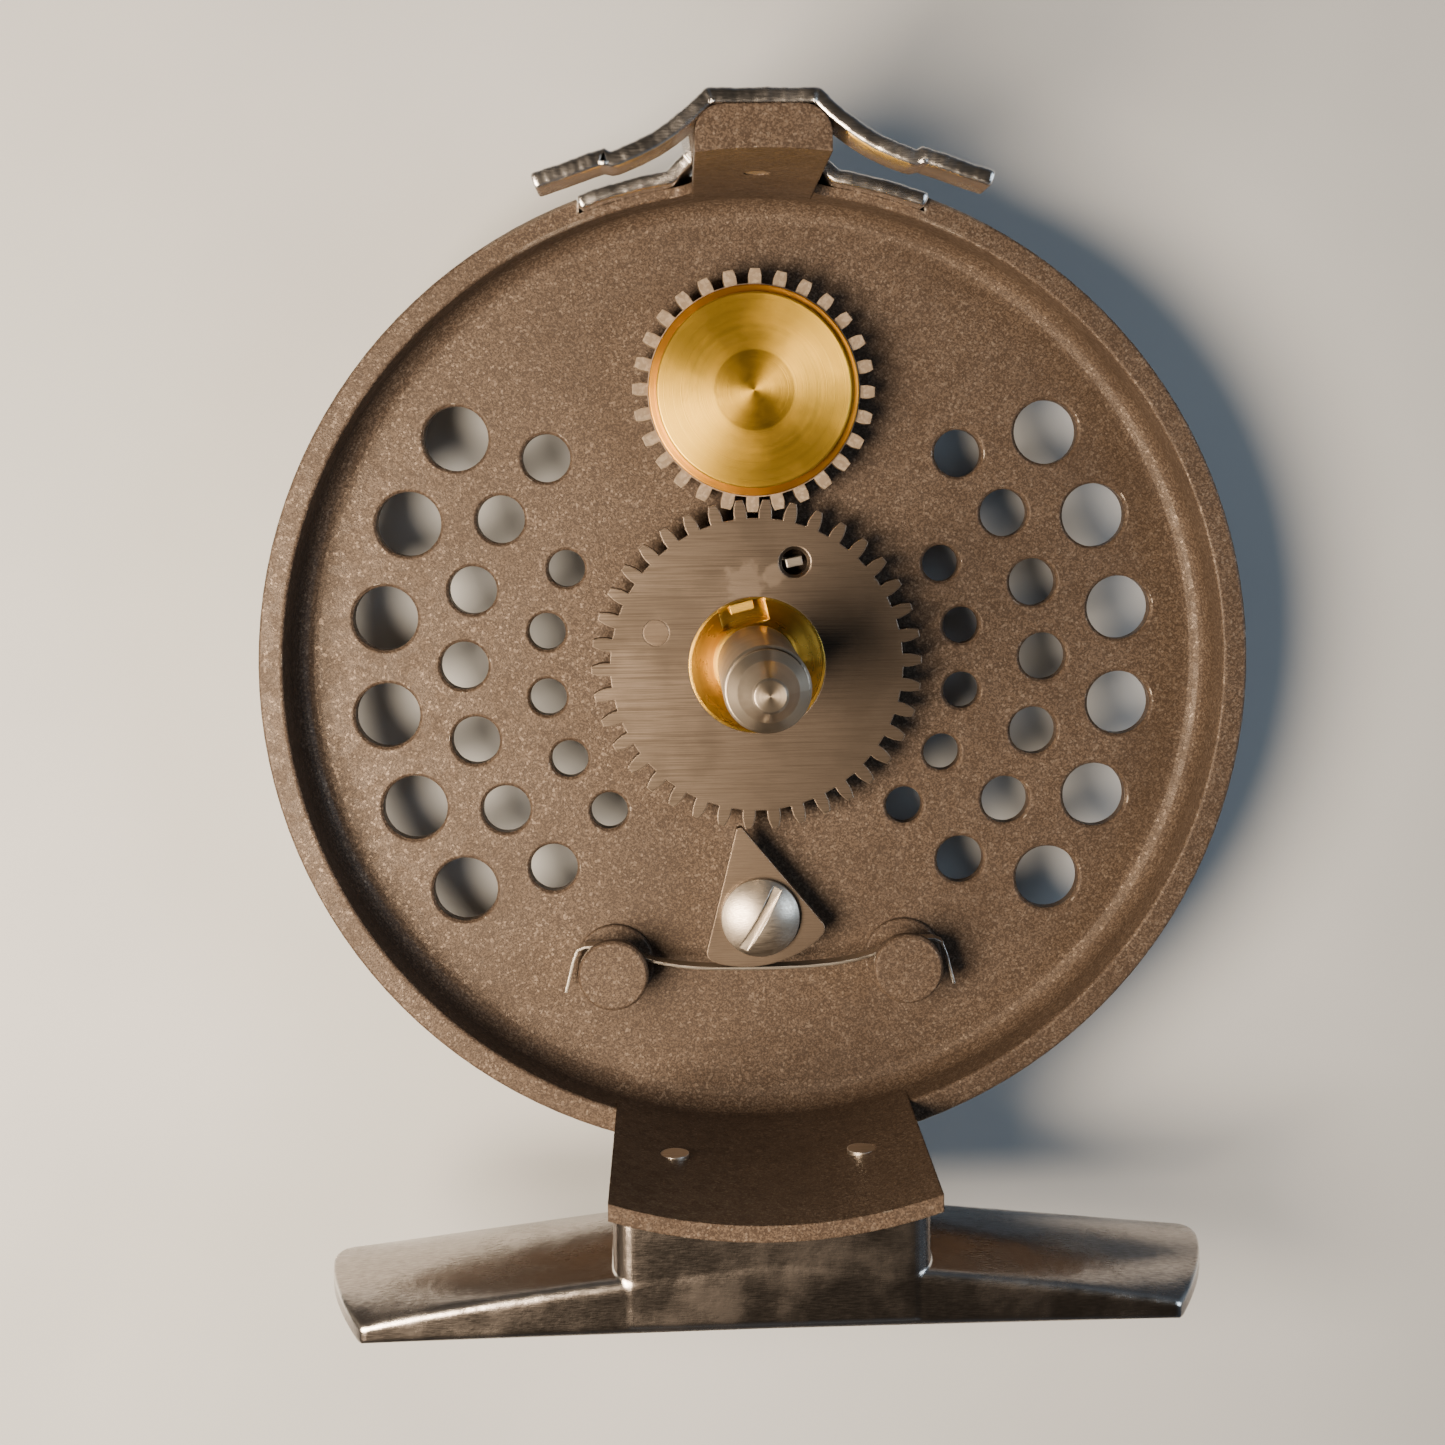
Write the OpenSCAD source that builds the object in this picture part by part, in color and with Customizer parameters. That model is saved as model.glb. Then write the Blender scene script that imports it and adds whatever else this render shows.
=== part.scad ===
/* [Frame casting] */
// Outer diameter of the rim
frame_d = 88.9; // [88:0.1:108]
// Thickness of the back plate
plate_t = 1.8; // [1.4:0.1:2.6]
// Height of the rim above the plate's floor
rim_h = 5.4; // [5:0.1:8]
// Width of the rim's flat front face
rim_w = 2.3; // [1.8:0.1:3.5]
// Radius of the fillet between floor and rim
floor_fillet = 2.1; // [1:0.1:3]
// Radius round the outer edge at the back
back_edge_r = 2.4; // [1:0.1:3]
// Height of both pillars above the plate's floor
pillar_h = 28.3; // [24:0.1:40]
// Half width of the pillar over the foot
foot_pillar_x = 13.35; // [12:0.05:16]
// Thickness of the pillar over the foot
foot_pillar_t = 1.45; // [1.2:0.05:2.2]
// Half width of the pillar under the line guard
top_pillar_x = 5.3; // [5:0.1:7]
// Thickness of the pillar under the line guard
top_pillar_t = 3.5; // [3:0.05:4.5]
// Corner radius of the pillar under the line guard
top_pillar_corner = 2.3; // [1:0.1:2.4]
// Fillet radius where a pillar leaves the rim
pillar_fillet = 2.2; // [1:0.1:3]

/* [Lightening holes] */
// Distance from the floor's edge to the outer row
row_inset = 5.85; // [4:0.1:8]
// Distance from one row to the next
row_step = 7.4; // [6:0.1:8]
// Radius of the holes in the outer row
outer_hole_r = 2.95; // [2:0.05:3.2]
// Radius of the holes in the middle row
middle_hole_r = 2.2; // [1.5:0.05:2.6]
// Radius of the holes in the inner row
inner_hole_r = 1.7; // [1:0.05:2]
// Chamfer round each hole
hole_chamfer = 0.25; // [0.1:0.05:0.5]

/* [Spindle] */
// Radius of the spool's bearing on the spindle
spindle_r = 3.6; // [3.2:0.05:4]
// Height of the spindle's tip above the floor
spindle_tip_h = 28.6; // [24:0.1:44]
// Radius of the polished end spigot
spigot_r = 1.45; // [1:0.05:2]
// Radius of the journal that carries the wheel's hub
journal_r = 3; // [2.7:0.05:3.1]
// Radius of the tail pressed into the plate
tail_r = 2.5; // [2:0.1:2.9]
// Height of the spool's seat above the floor
seat_h = 4.2; // [4:0.1:5]

/* [Click wheel] */
// Tooth module of both wheels
gear_module = 0.75; // [0.6:0.01:0.78]
// Teeth on the steel click wheel
wheel_teeth = 38; // [36:1:40]
// Teeth on the nylon drag wheel
drag_teeth = 28; // [26:1:28]
// Thickness of the steel wheel
wheel_t = 1.6; // [1.2:0.1:1.7]
// Height of the steel wheel's underside above the floor
wheel_h = 2.2; // [2:0.1:2.6]
// Radius of the wheel's bore round the brass hub
wheel_bore_r = 6.2; // [5.6:0.1:6.6]
// Angle of the tooth gap beside the line of centres
mesh_angle = 0.95; // [0:0.05:4]
// Play between the teeth, measured along the pitch circle
backlash = 0.14; // [0.1:0.01:0.2]

/* [One-way clutch] */
// Distance from the axis to the clutch pawl's pin
clutch_pin_dist = 9.61; // [9.2:0.05:9.8]
// Angle of the clutch pawl's pin
clutch_pin_angle = 161.4; // [155:0.1:170]
// Radius of the clutch pawl's pin
clutch_pin_r = 1.18; // [0.9:0.02:1.3]
// Distance from the axis to the clutch spring's window
spring_hole_dist = 9.91; // [9.2:0.05:10]
// Angle of the clutch spring's window
spring_hole_angle = 69.3; // [60:0.1:75]
// Radius of the clutch spring's window
spring_hole_r = 1.18; // [0.9:0.02:1.4]
// Angle to the middle of the slot through the hub's wall
hub_slot_angle = 104; // [95:1:112]
// Width of that slot
hub_slot_w = 4.4; // [3.6:0.1:5]

/* [Drag] */
// Radius of the brass pressure disc
disc_r = 8.75; // [7:0.05:9]
// Thickness of the brass pressure disc
disc_t = 0.8; // [0.6:0.1:1.4]
// How far the bronze washer shows round the disc
washer_lip = 0.7; // [0.3:0.05:0.8]
// Thickness of the nylon wheel
drag_t = 2.4; // [2:0.1:2.6]
// Radius of the drag stud in the nylon wheel
stud_r = 3; // [2.5:0.1:3.4]
// Radius of the drag stud's threaded end
stud_thread_r = 1.75; // [1.5:0.05:2.2]
// Radius of the drag knob
knob_r = 8.6; // [7:0.1:10]
// Height of the drag knob
knob_t = 6.2; // [5.8:0.1:8]
// Scallops round the knob's edge
knob_scallops = 20; // [12:1:28]

/* [Click pawl] */
// Distance from the axis to the click pawl's screw
pawl_dist = 23.16; // [23:0.01:24]
// Gap between the pawl's nose and the wheel's teeth
nose_gap = 0.06; // [0.05:0.01:0.2]
// Angle the pawl leans over at rest
pawl_lean = 12.6; // [8:0.1:16]
// Thickness of the click pawl
pawl_t = 1.2; // [1:0.1:1.4]
// Radius of the click pawl's bearing
pawl_bore_r = 2; // [1.6:0.1:2.2]
// Radius of the domed screw head
pawl_head_r = 3.58; // [3:0.02:3.8]
// Distance from the mid line to each spring post
post_x = 13.45; // [13:0.05:15]
// How far the posts stand below the pawl screw
post_drop = 4.84; // [4.4:0.02:6]
// Radius of the spring posts' heads
post_head_r = 3.2; // [2.8:0.1:3.4]
// Thickness of the leaf spring
leaf_t = 0.25; // [0.2:0.05:0.4]
// Width of the leaf spring
leaf_w = 1.7; // [1.4:0.1:2.6]

/* [Line guard] */
// Thickness of the guard's strip
guard_t = 1.25; // [1:0.05:1.3]
// Half width of the guard's flat top
guard_top_x = 4.45; // [4.2:0.05:5]
// Half length of the front arms
guard_front_x = 17.8; // [15:0.1:20]
// Half length of the rear arms
guard_rear_x = 14.8; // [12:0.1:17]
// Depth of the front arms along the spindle
guard_front_d = 5; // [4:0.1:8]
// Height of the rear arms' front edge above the floor
guard_rear_top = 7.8; // [6.5:0.1:10]
// Height of the guard's rear edge above the floor
guard_rear_h = 1.6; // [1:0.1:3]

/* [Foot] */
// Half length of the foot at its ends' crown
foot_x = 37.4; // [35:0.1:42]
// Width of the foot along the spindle
foot_w = 16; // [13:0.1:17]
// Height of the foot's mid plane above the floor
foot_mid_h = 14; // [13:0.1:18]
// Distance from the rim to the foot's lower edge
foot_drop = 9.35; // [8:0.05:12]
// Radius of the rod seat under the foot
rod_seat_r = 12.2; // [10:0.1:16]
// Thickness of the foot's tips
foot_tip_t = 1.4; // [1:0.05:2]
// Height of the foot's front edge where the wings leave the stem
foot_root_t = 4.5; // [3.5:0.1:5]
// Half width of the stem
stem_x = 13.3; // [11:0.1:13.3]
// Corner radius of the stem
stem_corner = 1.9; // [0.5:0.1:3]
// Distance from the mid line to each foot screw
foot_screw_x = 8.1; // [7:0.1:9]
// Radius of the foot screws
foot_screw_r = 1.25; // [1:0.05:1.6]

/* [Hidden] */
$fn = 64;

// Clearances
run_gap = 0.05;
face_gap = 0.05;
part_gap = 0.3;
cut = 0.5;

// Radii and levels worked out from the sizes above
floor_z = -seat_h;
rim_r = frame_d / 2;
wall_r = rim_r - rim_w;
floor_r = wall_r - floor_fillet;
pillar_draft = 0.1;
wheel_pitch_r = wheel_teeth * gear_module / 2;
drag_pitch_r = drag_teeth * gear_module / 2;
centre_dist = wheel_pitch_r + drag_pitch_r;
wheel_tip_r = wheel_pitch_r + gear_module;
drag_tip_r = drag_pitch_r + 0.55 * gear_module;
pressure_angle = 14.5;
washer_r = disc_r + washer_lip;
wheel_top = wheel_h + wheel_t;

// Levels of the drag's stack above the floor
drag_boss_h = 0.7;
friction_t = 0.75;
drag_h = drag_boss_h + friction_t + face_gap;
bronze_h = drag_h + drag_t + face_gap;
bronze_t = 0.35;
disc_h = bronze_h + bronze_t;
back_pad_t = 0.8;
back_pad_r = knob_r + 1.4;
pad_h = -plate_t - back_pad_t;
knob_gap = 0.4;
knob_h = pad_h - knob_gap;
cup_t = 0.4;
cup_rise = 0.5;
cup_r = 4.7;
knob_recess_t = 2 * (cup_t + cup_rise) + face_gap - knob_gap;
knob_web = 1;
knob_bore_r = 3.2;
knob_screw_r = 0.9;

// The hub and what turns on it
hub_h = 0.35;
hub_floor = 1.9;
hub_body_r = wheel_bore_r + 0.7;
hub_mouth_r = wheel_bore_r - 0.25;
shoulder_h = hub_floor + 0.1;
hub_boss_r = journal_r + 1.6;
clutch_h = 0.8;
clutch_t = 1.2;
clutch_in_r = hub_body_r + 0.35;
clutch_out_r = clutch_in_r + 1.9;
clutch_nose_r = spindle_r + 1.3;

// The click pawl, its screw and its spring
pawl_h = wheel_h + 0.15;
pawl_boss_r = 3;
pawl_len = pawl_dist * cos(pawl_lean)
    - sqrt(pow(wheel_tip_r + nose_gap, 2) - pow(pawl_dist * sin(pawl_lean), 2));
pawl_half = 4.75;
pawl_drop = 2.3;
pawl_corner = 0.8;
pawl_sole_r = 10.2;
pawl_sole = 4.5;
leaf_h = 1.5;
post_y = pawl_dist + post_drop;
leaf_mid_y = -(pawl_dist + pawl_sole + leaf_t / 2 + 0.25);
leaf_bow = 0.0034;
leaf_rise = 0.0000557;
post_neck_r = 1.95;
post_collar_r = 3.65;
post_collar_h = 0.5;
post_head_h = 4;
post_head_t = 1;

// The line guard and the pillar it sits on
guard_in_r = wall_r + 1;
guard_out_r = guard_in_r + guard_t;
guard_base_y = wall_r + top_pillar_t - 0.05;
guard_top_y = guard_base_y + guard_t;
guard_bend = 0.75;
guard_sweep_r = 16.5;
guard_arm_angle = 19;
guard_step = 0.4;
guard_saddle_x = 6.3;
guard_screw_h = pillar_h / 2 + 1.6;
guard_screw_r = 1.1;

// The foot
foot_low_y = -(rim_r + foot_drop);
foot_front_x = foot_x - 3.4;
foot_back_h = foot_mid_h - foot_w / 2;
foot_front_h = foot_mid_h + foot_w / 2;
foot_end_r = (pow(foot_w / 2, 2) + pow(foot_x - foot_front_x, 2)) / (2 * (foot_x - foot_front_x));
foot_root_sag = 1.6;
foot_tip_sag = 3;
pillar_out_r = wall_r + foot_pillar_t;
foot_slope = atan((foot_root_t - foot_tip_t) / (foot_front_x - stem_x));

// Moves children to a height above the plate's floor
module on_floor(h = 0) translate([0, 0, floor_z + h]) children();

// Repeats children on the left and on the right
module both_sides() {
    children();
    mirror([1, 0, 0]) children();
}

// Points along an arc
function arc(c, r, a0, a1, n) = [for (i = [0:n]) let (a = a0 + (a1 - a0) * i / n)
    [c[0] + r * cos(a), c[1] + r * sin(a)]];

// Half of a tooth's angle at a radius on an involute flank
function involute(a) = tan(a) * 180 / PI - a;
function half_tooth(r, pitch_r, teeth) = let (base_r = pitch_r * cos(pressure_angle))
    90 / teeth - backlash / 2 / pitch_r * 90 / PI + involute(pressure_angle)
    - involute(acos(min(1, base_r / max(r, base_r))));

// Outline of one gear wheel, with a tooth gap at angle 0
function gear_points(pitch_r, teeth, tip_r) = let (root_r = pitch_r - 1.25 * gear_module, steps = 4)
    [for (i = [0:teeth - 1]) let (mid = 360 * (i + 0.5) / teeth)
        for (s = [-1, 1]) for (k = [0:steps])
            let (q = s < 0 ? k : steps - k, r = root_r + (tip_r - root_r) * q / steps,
                 a = mid + s * half_tooth(r, pitch_r, teeth)) [r * cos(a), r * sin(a)]];

// A flat strip of a given thickness along a path
function side(path, i) = let (a = path[max(i - 1, 0)], b = path[min(i + 1, len(path) - 1)], d = b - a)
    [-d[1], d[0]] / norm(d);
function ribbon(path, t) = concat([for (i = [0:len(path) - 1]) path[i] + side(path, i) * t / 2],
    [for (i = [len(path) - 1:-1:0]) path[i] - side(path, i) * t / 2]);

// Turned cross-section of the plate and its rim
module dish() {
    edge = 0.3;
    rotate_extrude($fn = 128) polygon(concat(
        [[0, -plate_t]],
        arc([rim_r - back_edge_r, back_edge_r - plate_t], back_edge_r, -90, 0, 6),
        arc([rim_r - edge, rim_h - edge], edge, 0, 90, 3),
        arc([wall_r + pillar_draft + edge, rim_h - edge], edge, 90, 180, 3),
        arc([floor_r, floor_fillet], floor_fillet, 0, -90, 7),
        [[0, 0]]));
}

// Lightening holes with chamfered mouths: six, seven and five a side
module hole(r) {
    translate([0, 0, -plate_t - cut]) cylinder(r = r, h = plate_t + 2 * cut, $fn = 40);
    translate([0, 0, -hole_chamfer]) cylinder(r1 = r, r2 = r + 2 * hole_chamfer, h = 2 * hole_chamfer, $fn = 40);
    translate([0, 0, -plate_t - hole_chamfer])
        cylinder(r1 = r + 2 * hole_chamfer, r2 = r, h = 2 * hole_chamfer, $fn = 40);
}
module hole_row(r, count, pitch, mid, hole_r) {
    for (i = [0:count - 1]) rotate(mid + pitch * (i - (count - 1) / 2)) translate([r, 0, 0]) hole(hole_r);
}
module lightening_holes() {
    outer_r = floor_r - row_inset;
    both_sides() {
        hole_row(outer_r, 6, 15, 0, outer_hole_r);
        hole_row(outer_r - row_step, 7, 15, 0, middle_hole_r);
        hole_row(outer_r - 2 * row_step, 5, 18, -9, inner_hole_r);
    }
}

// Wide pillar that carries the foot
module foot_pillar() {
    h = pillar_h + plate_t;
    intersection() {
        translate([0, 0, -plate_t]) difference() {
            cylinder(r = pillar_out_r, h = h, $fn = 128);
            translate([0, 0, plate_t]) cylinder(r1 = wall_r, r2 = wall_r + pillar_draft, h = h, $fn = 128);
        }
        translate([-foot_pillar_x, -rim_r - 1, back_edge_r - plate_t]) cube([2 * foot_pillar_x, rim_w + 6, h]);
    }
}

// Narrow pillar under the line guard, with round outer corners
module top_pillar() {
    c = top_pillar_corner;
    top = guard_base_y;
    difference() {
        translate([0, 0, back_edge_r - plate_t])
            linear_extrude(pillar_h + plate_t - back_edge_r) polygon(concat(
                arc([top_pillar_x - c, top - c], c, 0, 90, 8), arc([c - top_pillar_x, top - c], c, 90, 180, 8),
                [[-top_pillar_x, wall_r - 3], [top_pillar_x, wall_r - 3]]));
        cylinder(r1 = wall_r, r2 = wall_r + pillar_draft, h = pillar_h + cut, $fn = 128);
    }
}

// Concave fillet between a pillar's side and the rim's front face
module fillet_bar(x, y, depth) {
    r = pillar_fillet;
    translate([x, y, rim_h - 0.1]) difference() {
        cube([r, depth, r]);
        translate([r, -cut, r]) rotate([-90, 0, 0]) cylinder(r = r, h = depth + 2 * cut, $fn = 40);
    }
}

// Shelf cut in the rim for the guard's rear arms
module guard_shelf() {
    x = guard_rear_x + 0.5;
    intersection() {
        difference() {
            cylinder(r = rim_r + 1, h = rim_h + cut, $fn = 128);
            translate([0, 0, -cut]) cylinder(r = guard_in_r, h = rim_h + 3 * cut, $fn = 128);
        }
        translate([-x, 0, guard_rear_h]) cube([2 * x, rim_r + 2, rim_h]);
    }
}

module frame() {
    color([0.42, 0.34, 0.28]) on_floor() difference() {
        union() {
            difference() {
                dish();
                guard_shelf();
            }
            foot_pillar();
            top_pillar();
            intersection() {
                union() {
                    both_sides() fillet_bar(top_pillar_x, wall_r - 1, rim_w);
                    both_sides() fillet_bar(foot_pillar_x, -rim_r, rim_w + 1);
                }
                difference() {
                    cylinder(r = guard_in_r, h = pillar_h);
                    translate([0, 0, -cut]) cylinder(r = wall_r + pillar_draft, h = pillar_h + 2 * cut);
                }
            }
            // Bosses on the floor for the spindle, the drag and the pawl
            cylinder(r = hub_boss_r, h = hub_h - face_gap);
            translate([0, centre_dist, 0]) cylinder(r = stud_r + 2, h = drag_boss_h);
            translate([0, -pawl_dist, 0]) cylinder(r = pawl_boss_r, h = pawl_h - face_gap);
            // Raised pads on the back
            translate([0, 0, pad_h]) cylinder(r = 9, h = back_pad_t + cut);
            translate([0, centre_dist, pad_h]) cylinder(r = back_pad_r, h = back_pad_t + cut);
        }
        lightening_holes();
        translate([0, 0, pad_h - cut]) cylinder(r = tail_r, h = 4);
        translate([0, centre_dist, pad_h - cut]) cylinder(r = stud_thread_r + 0.45, h = 5);
        translate([0, -pawl_dist, 0.2]) cylinder(r = 1.3, h = pawl_h);
        both_sides() translate([post_x, -post_y, -plate_t + 0.6]) cylinder(r = 1.2, h = plate_t);
        translate([0, wall_r - 2, guard_screw_h]) rotate([-90, 0, 0]) cylinder(r = guard_screw_r, h = 8);
        both_sides() translate([foot_screw_x, -wall_r + 3, foot_mid_h]) rotate([90, 0, 0])
            cylinder(r = foot_screw_r, h = 8);
    }
}

// Steel spindle: tail, hub journal, shoulder, latch groove and tapered nose
module spindle() {
    groove_h = spindle_tip_h - 4.9;
    groove_r = spindle_r - 0.45;
    nose_r = spindle_r - 0.3;
    relief_r = spindle_r - 0.35;
    bearing_foot = seat_h - 0.4;
    screw_r = 1.25;
    color([0.5, 0.49, 0.47]) on_floor() difference() {
        union() {
            rotate_extrude() polygon([
                [0, pad_h + 0.9], [tail_r, pad_h + 0.9], [tail_r, hub_h - face_gap],
                [journal_r, hub_h - face_gap], [journal_r, shoulder_h],
                [relief_r - 0.1, shoulder_h], [relief_r, shoulder_h + 0.1],
                [relief_r, bearing_foot], [spindle_r, bearing_foot], [spindle_r, groove_h - 0.2], [spindle_r - 0.2, groove_h],
                [groove_r, groove_h], [groove_r, groove_h + 0.5],
                [nose_r, groove_h + 0.5], [nose_r, groove_h + 1], [nose_r - 0.8, groove_h + 1.8],
                [spigot_r, spindle_tip_h - 0.7], [spigot_r, spindle_tip_h - 0.2],
                [spigot_r - 0.2, spindle_tip_h], [0, spindle_tip_h]]);
        }
        translate([0, 0, pad_h]) cylinder(r = screw_r, h = 6);
    }
}

// Countersunk screw that draws the spindle into the plate from the back
module spindle_screw() {
    head_r = 2.4;
    color([0.62, 0.61, 0.58]) on_floor(pad_h) difference() {
        union() {
            cylinder(r1 = head_r, r2 = 1.25, h = 0.9);
            cylinder(r = 1.25, h = 5.4);
        }
        rotate(25) translate([-head_r, -0.3, -cut]) cube([2 * head_r, 0.6, cut + 0.45]);
    }
}

// Steel wheel that the click pawl rides on
module click_wheel() {
    color([0.55, 0.5, 0.45]) on_floor(wheel_h) difference() {
        linear_extrude(wheel_t) rotate(90 + mesh_angle)
            polygon(gear_points(wheel_pitch_r, wheel_teeth, wheel_tip_r));
        translate([0, 0, -cut]) cylinder(r = wheel_bore_r, h = wheel_t + 2 * cut);
        rotate(clutch_pin_angle) translate([clutch_pin_dist, 0, -cut])
            cylinder(r = clutch_pin_r, h = wheel_t + 2 * cut);
        rotate(spring_hole_angle) translate([spring_hole_dist, 0, 0]) {
            translate([0, 0, -cut]) cylinder(r = spring_hole_r, h = wheel_t + 2 * cut);
            translate([0, 0, wheel_t - 0.3]) cylinder(r1 = spring_hole_r, r2 = spring_hole_r + 0.5, h = 0.5);
        }
    }
}

// Brass hub: a funnel round the spindle, slotted for the clutch pawl's nose
module wheel_hub() {
    color([0.78, 0.6, 0.22]) on_floor(hub_h) difference() {
        rotate_extrude() polygon([
            [journal_r + run_gap, 0], [hub_body_r, 0], [hub_body_r, wheel_h - hub_h],
            [wheel_bore_r, wheel_h - hub_h], [wheel_bore_r, wheel_top - hub_h],
            [hub_mouth_r, wheel_top - hub_h], [hub_mouth_r, wheel_top - hub_h - 0.35],
            [spindle_r + 0.35, hub_floor - hub_h],
            [spindle_r + 0.1, hub_floor - hub_h - 0.1], [journal_r + run_gap, hub_floor - hub_h - 0.1]]);
        rotate(hub_slot_angle) translate([spindle_r, -hub_slot_w / 2, clutch_h - hub_h - part_gap])
            cube([hub_body_r, hub_slot_w, wheel_h - clutch_h + part_gap]);
        rotate(hub_slot_angle) translate([spindle_r, -hub_slot_w / 2, clutch_h - hub_h - part_gap])
            cube([hub_mouth_r - spindle_r - 0.15, hub_slot_w, wheel_top]);
    }
}

// Pawl under the wheel that locks the hub to the spool one way
module clutch_pawl() {
    sector = clutch_pin_angle - hub_slot_angle;
    nose_w = 2.2;
    color([0.6, 0.57, 0.52]) on_floor(clutch_h) difference() {
        union() {
            rotate(hub_slot_angle) intersection() {
                difference() {
                    cylinder(r = clutch_out_r, h = clutch_t);
                    translate([0, 0, -cut]) cylinder(r = clutch_in_r, h = clutch_t + 2 * cut);
                }
                linear_extrude(clutch_t) polygon(concat([[0, 0]], arc([0, 0], 2 * clutch_out_r, 0, sector, 4)));
            }
            rotate(clutch_pin_angle) translate([clutch_pin_dist, 0, 0]) cylinder(r = clutch_pin_r + 0.95, h = clutch_t);
            rotate(hub_slot_angle) translate([clutch_nose_r, -nose_w / 2, 0])
                cube([clutch_out_r - clutch_nose_r - 0.1, nose_w, clutch_t]);
        }
        rotate(clutch_pin_angle) translate([clutch_pin_dist, 0, -cut])
            cylinder(r = clutch_pin_r + run_gap, h = clutch_t + 2 * cut);
    }
}

// Headed pin, riveted flush with the wheel's face
module clutch_pin() {
    head_t = 0.35;
    color([0.66, 0.6, 0.5]) on_floor() rotate(clutch_pin_angle) translate([clutch_pin_dist, 0, 0]) {
        translate([0, 0, clutch_h - face_gap - head_t]) cylinder(r = clutch_pin_r + 0.6, h = head_t);
        translate([0, 0, clutch_h - face_gap - head_t]) cylinder(r = clutch_pin_r, h = wheel_top - clutch_h + face_gap + head_t);
    }
}

// Strip spring that presses on the clutch pawl, held by a tab in the wheel's window
module clutch_spring() {
    strip_t = 0.25;
    tab = [1.5, 0.8];
    r0 = clutch_out_r + 0.35;
    path = concat([for (a = [spring_hole_angle:4:hub_slot_angle + 22])
        let (f = (a - spring_hole_angle) / (hub_slot_angle + 22 - spring_hole_angle),
             r = spring_hole_dist + (r0 - spring_hole_dist) * f) [r * cos(a), r * sin(a)]]);
    color([0.74, 0.7, 0.6]) on_floor(clutch_h + 0.15) {
        linear_extrude(clutch_t - 0.3) polygon(ribbon(path, strip_t));
        rotate(spring_hole_angle) translate([spring_hole_dist, 0, 0]) rotate(-58)
            translate([-tab[0] / 2, -tab[1] / 2, 0]) cube([tab[0], tab[1], wheel_top - clutch_h - 0.8]);
    }
}

// Nylon wheel between the drag's washers
module drag_wheel() {
    color([0.72, 0.68, 0.62]) on_floor(drag_h) translate([0, centre_dist, 0]) difference() {
        rotate(-90 - mesh_angle * wheel_teeth / drag_teeth + 180 / drag_teeth)
            linear_extrude(drag_t) polygon(gear_points(drag_pitch_r, drag_teeth, drag_tip_r));
        translate([0, 0, -cut]) cylinder(r = stud_r + run_gap, h = drag_t + 2 * cut);
    }
}

// Brass pressure disc that shows on the spool's side
module drag_disc() {
    color([0.8, 0.64, 0.26]) on_floor(disc_h) translate([0, centre_dist, 0])
        rotate_extrude($fn = 96) polygon([[0, 0], [disc_r - 0.1, 0], [disc_r - 0.1, 0.2], [disc_r, 0.3],
            [disc_r, disc_t - 0.15], [disc_r - 0.15, disc_t], [0, disc_t]]);
}

// Bronze washer under the disc
module bronze_washer() {
    color([0.8, 0.5, 0.16]) on_floor(bronze_h) translate([0, centre_dist, 0])
        rotate_extrude($fn = 96) polygon([[stud_r, 0], [washer_r, 0], [washer_r, bronze_t - 0.1],
            [washer_r - 0.1, bronze_t], [stud_r, bronze_t]]);
}

// Fibre washer between the nylon wheel and the plate
module friction_washer() {
    color([0.3, 0.2, 0.14]) on_floor(drag_boss_h) translate([0, centre_dist, 0])
        rotate_extrude($fn = 96) polygon([[stud_r + run_gap, 0], [disc_r - 0.4, 0],
            [disc_r - 0.4, friction_t], [stud_r + run_gap, friction_t]]);
}

// Stud that carries the drag from the disc to the knob, threaded at the back
module drag_stud() {
    tail_h = knob_h - knob_t + 1.4;
    color([0.52, 0.52, 0.5]) on_floor() translate([0, centre_dist, 0]) difference() {
        rotate_extrude() polygon([[0, tail_h], [stud_thread_r - 0.2, tail_h], [stud_thread_r, tail_h + 0.2],
            [stud_thread_r, drag_boss_h], [stud_r, drag_boss_h], [stud_r, disc_h], [0, disc_h]]);
        translate([0, 0, tail_h - cut]) cylinder(r = knob_screw_r, h = 4);
    }
}

// Two cup springs back to back between the plate and the knob
module cup_springs() {
    in_r = stud_thread_r + 0.3;
    color([0.45, 0.44, 0.42]) on_floor(pad_h) translate([0, centre_dist, 0])
        for (s = [0, 1]) translate([0, 0, s ? -2 * (cup_t + cup_rise) : 0]) mirror([0, 0, s ? 0 : 1])
            rotate_extrude() polygon([[in_r, 0], [in_r, cup_t], [cup_r, cup_rise + cup_t], [cup_r, cup_rise]]);
}

// Scalloped knob on the back
module drag_knob() {
    recess_r = cup_r + 0.4;
    color([0.5, 0.5, 0.5]) on_floor(knob_h - knob_t) translate([0, centre_dist, 0]) difference() {
        rotate_extrude($fn = 96) polygon([[0, 0], [knob_r - 1, 0], [knob_r, 0.8],
            [knob_r, knob_t - 0.4], [knob_r - 0.4, knob_t], [0, knob_t]]);
        for (i = [0:knob_scallops - 1]) rotate(360 * i / knob_scallops) translate([knob_r + 0.7, 0, -cut])
            cylinder(r = 1.1, h = knob_t + 2 * cut, $fn = 20);
        translate([0, 0, knob_t - knob_recess_t]) cylinder(r = recess_r, h = knob_recess_t + cut);
        translate([0, 0, -cut]) cylinder(r = knob_bore_r, h = knob_t);
    }
}

// Brass bush pressed into the knob
module knob_insert() {
    color([0.75, 0.58, 0.22]) on_floor(knob_h - knob_t) translate([0, centre_dist, 0]) difference() {
        translate([0, 0, knob_web]) cylinder(r = knob_bore_r, h = knob_t - knob_recess_t - knob_web);
        cylinder(r = stud_thread_r + run_gap, h = knob_t);
    }
}

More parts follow.
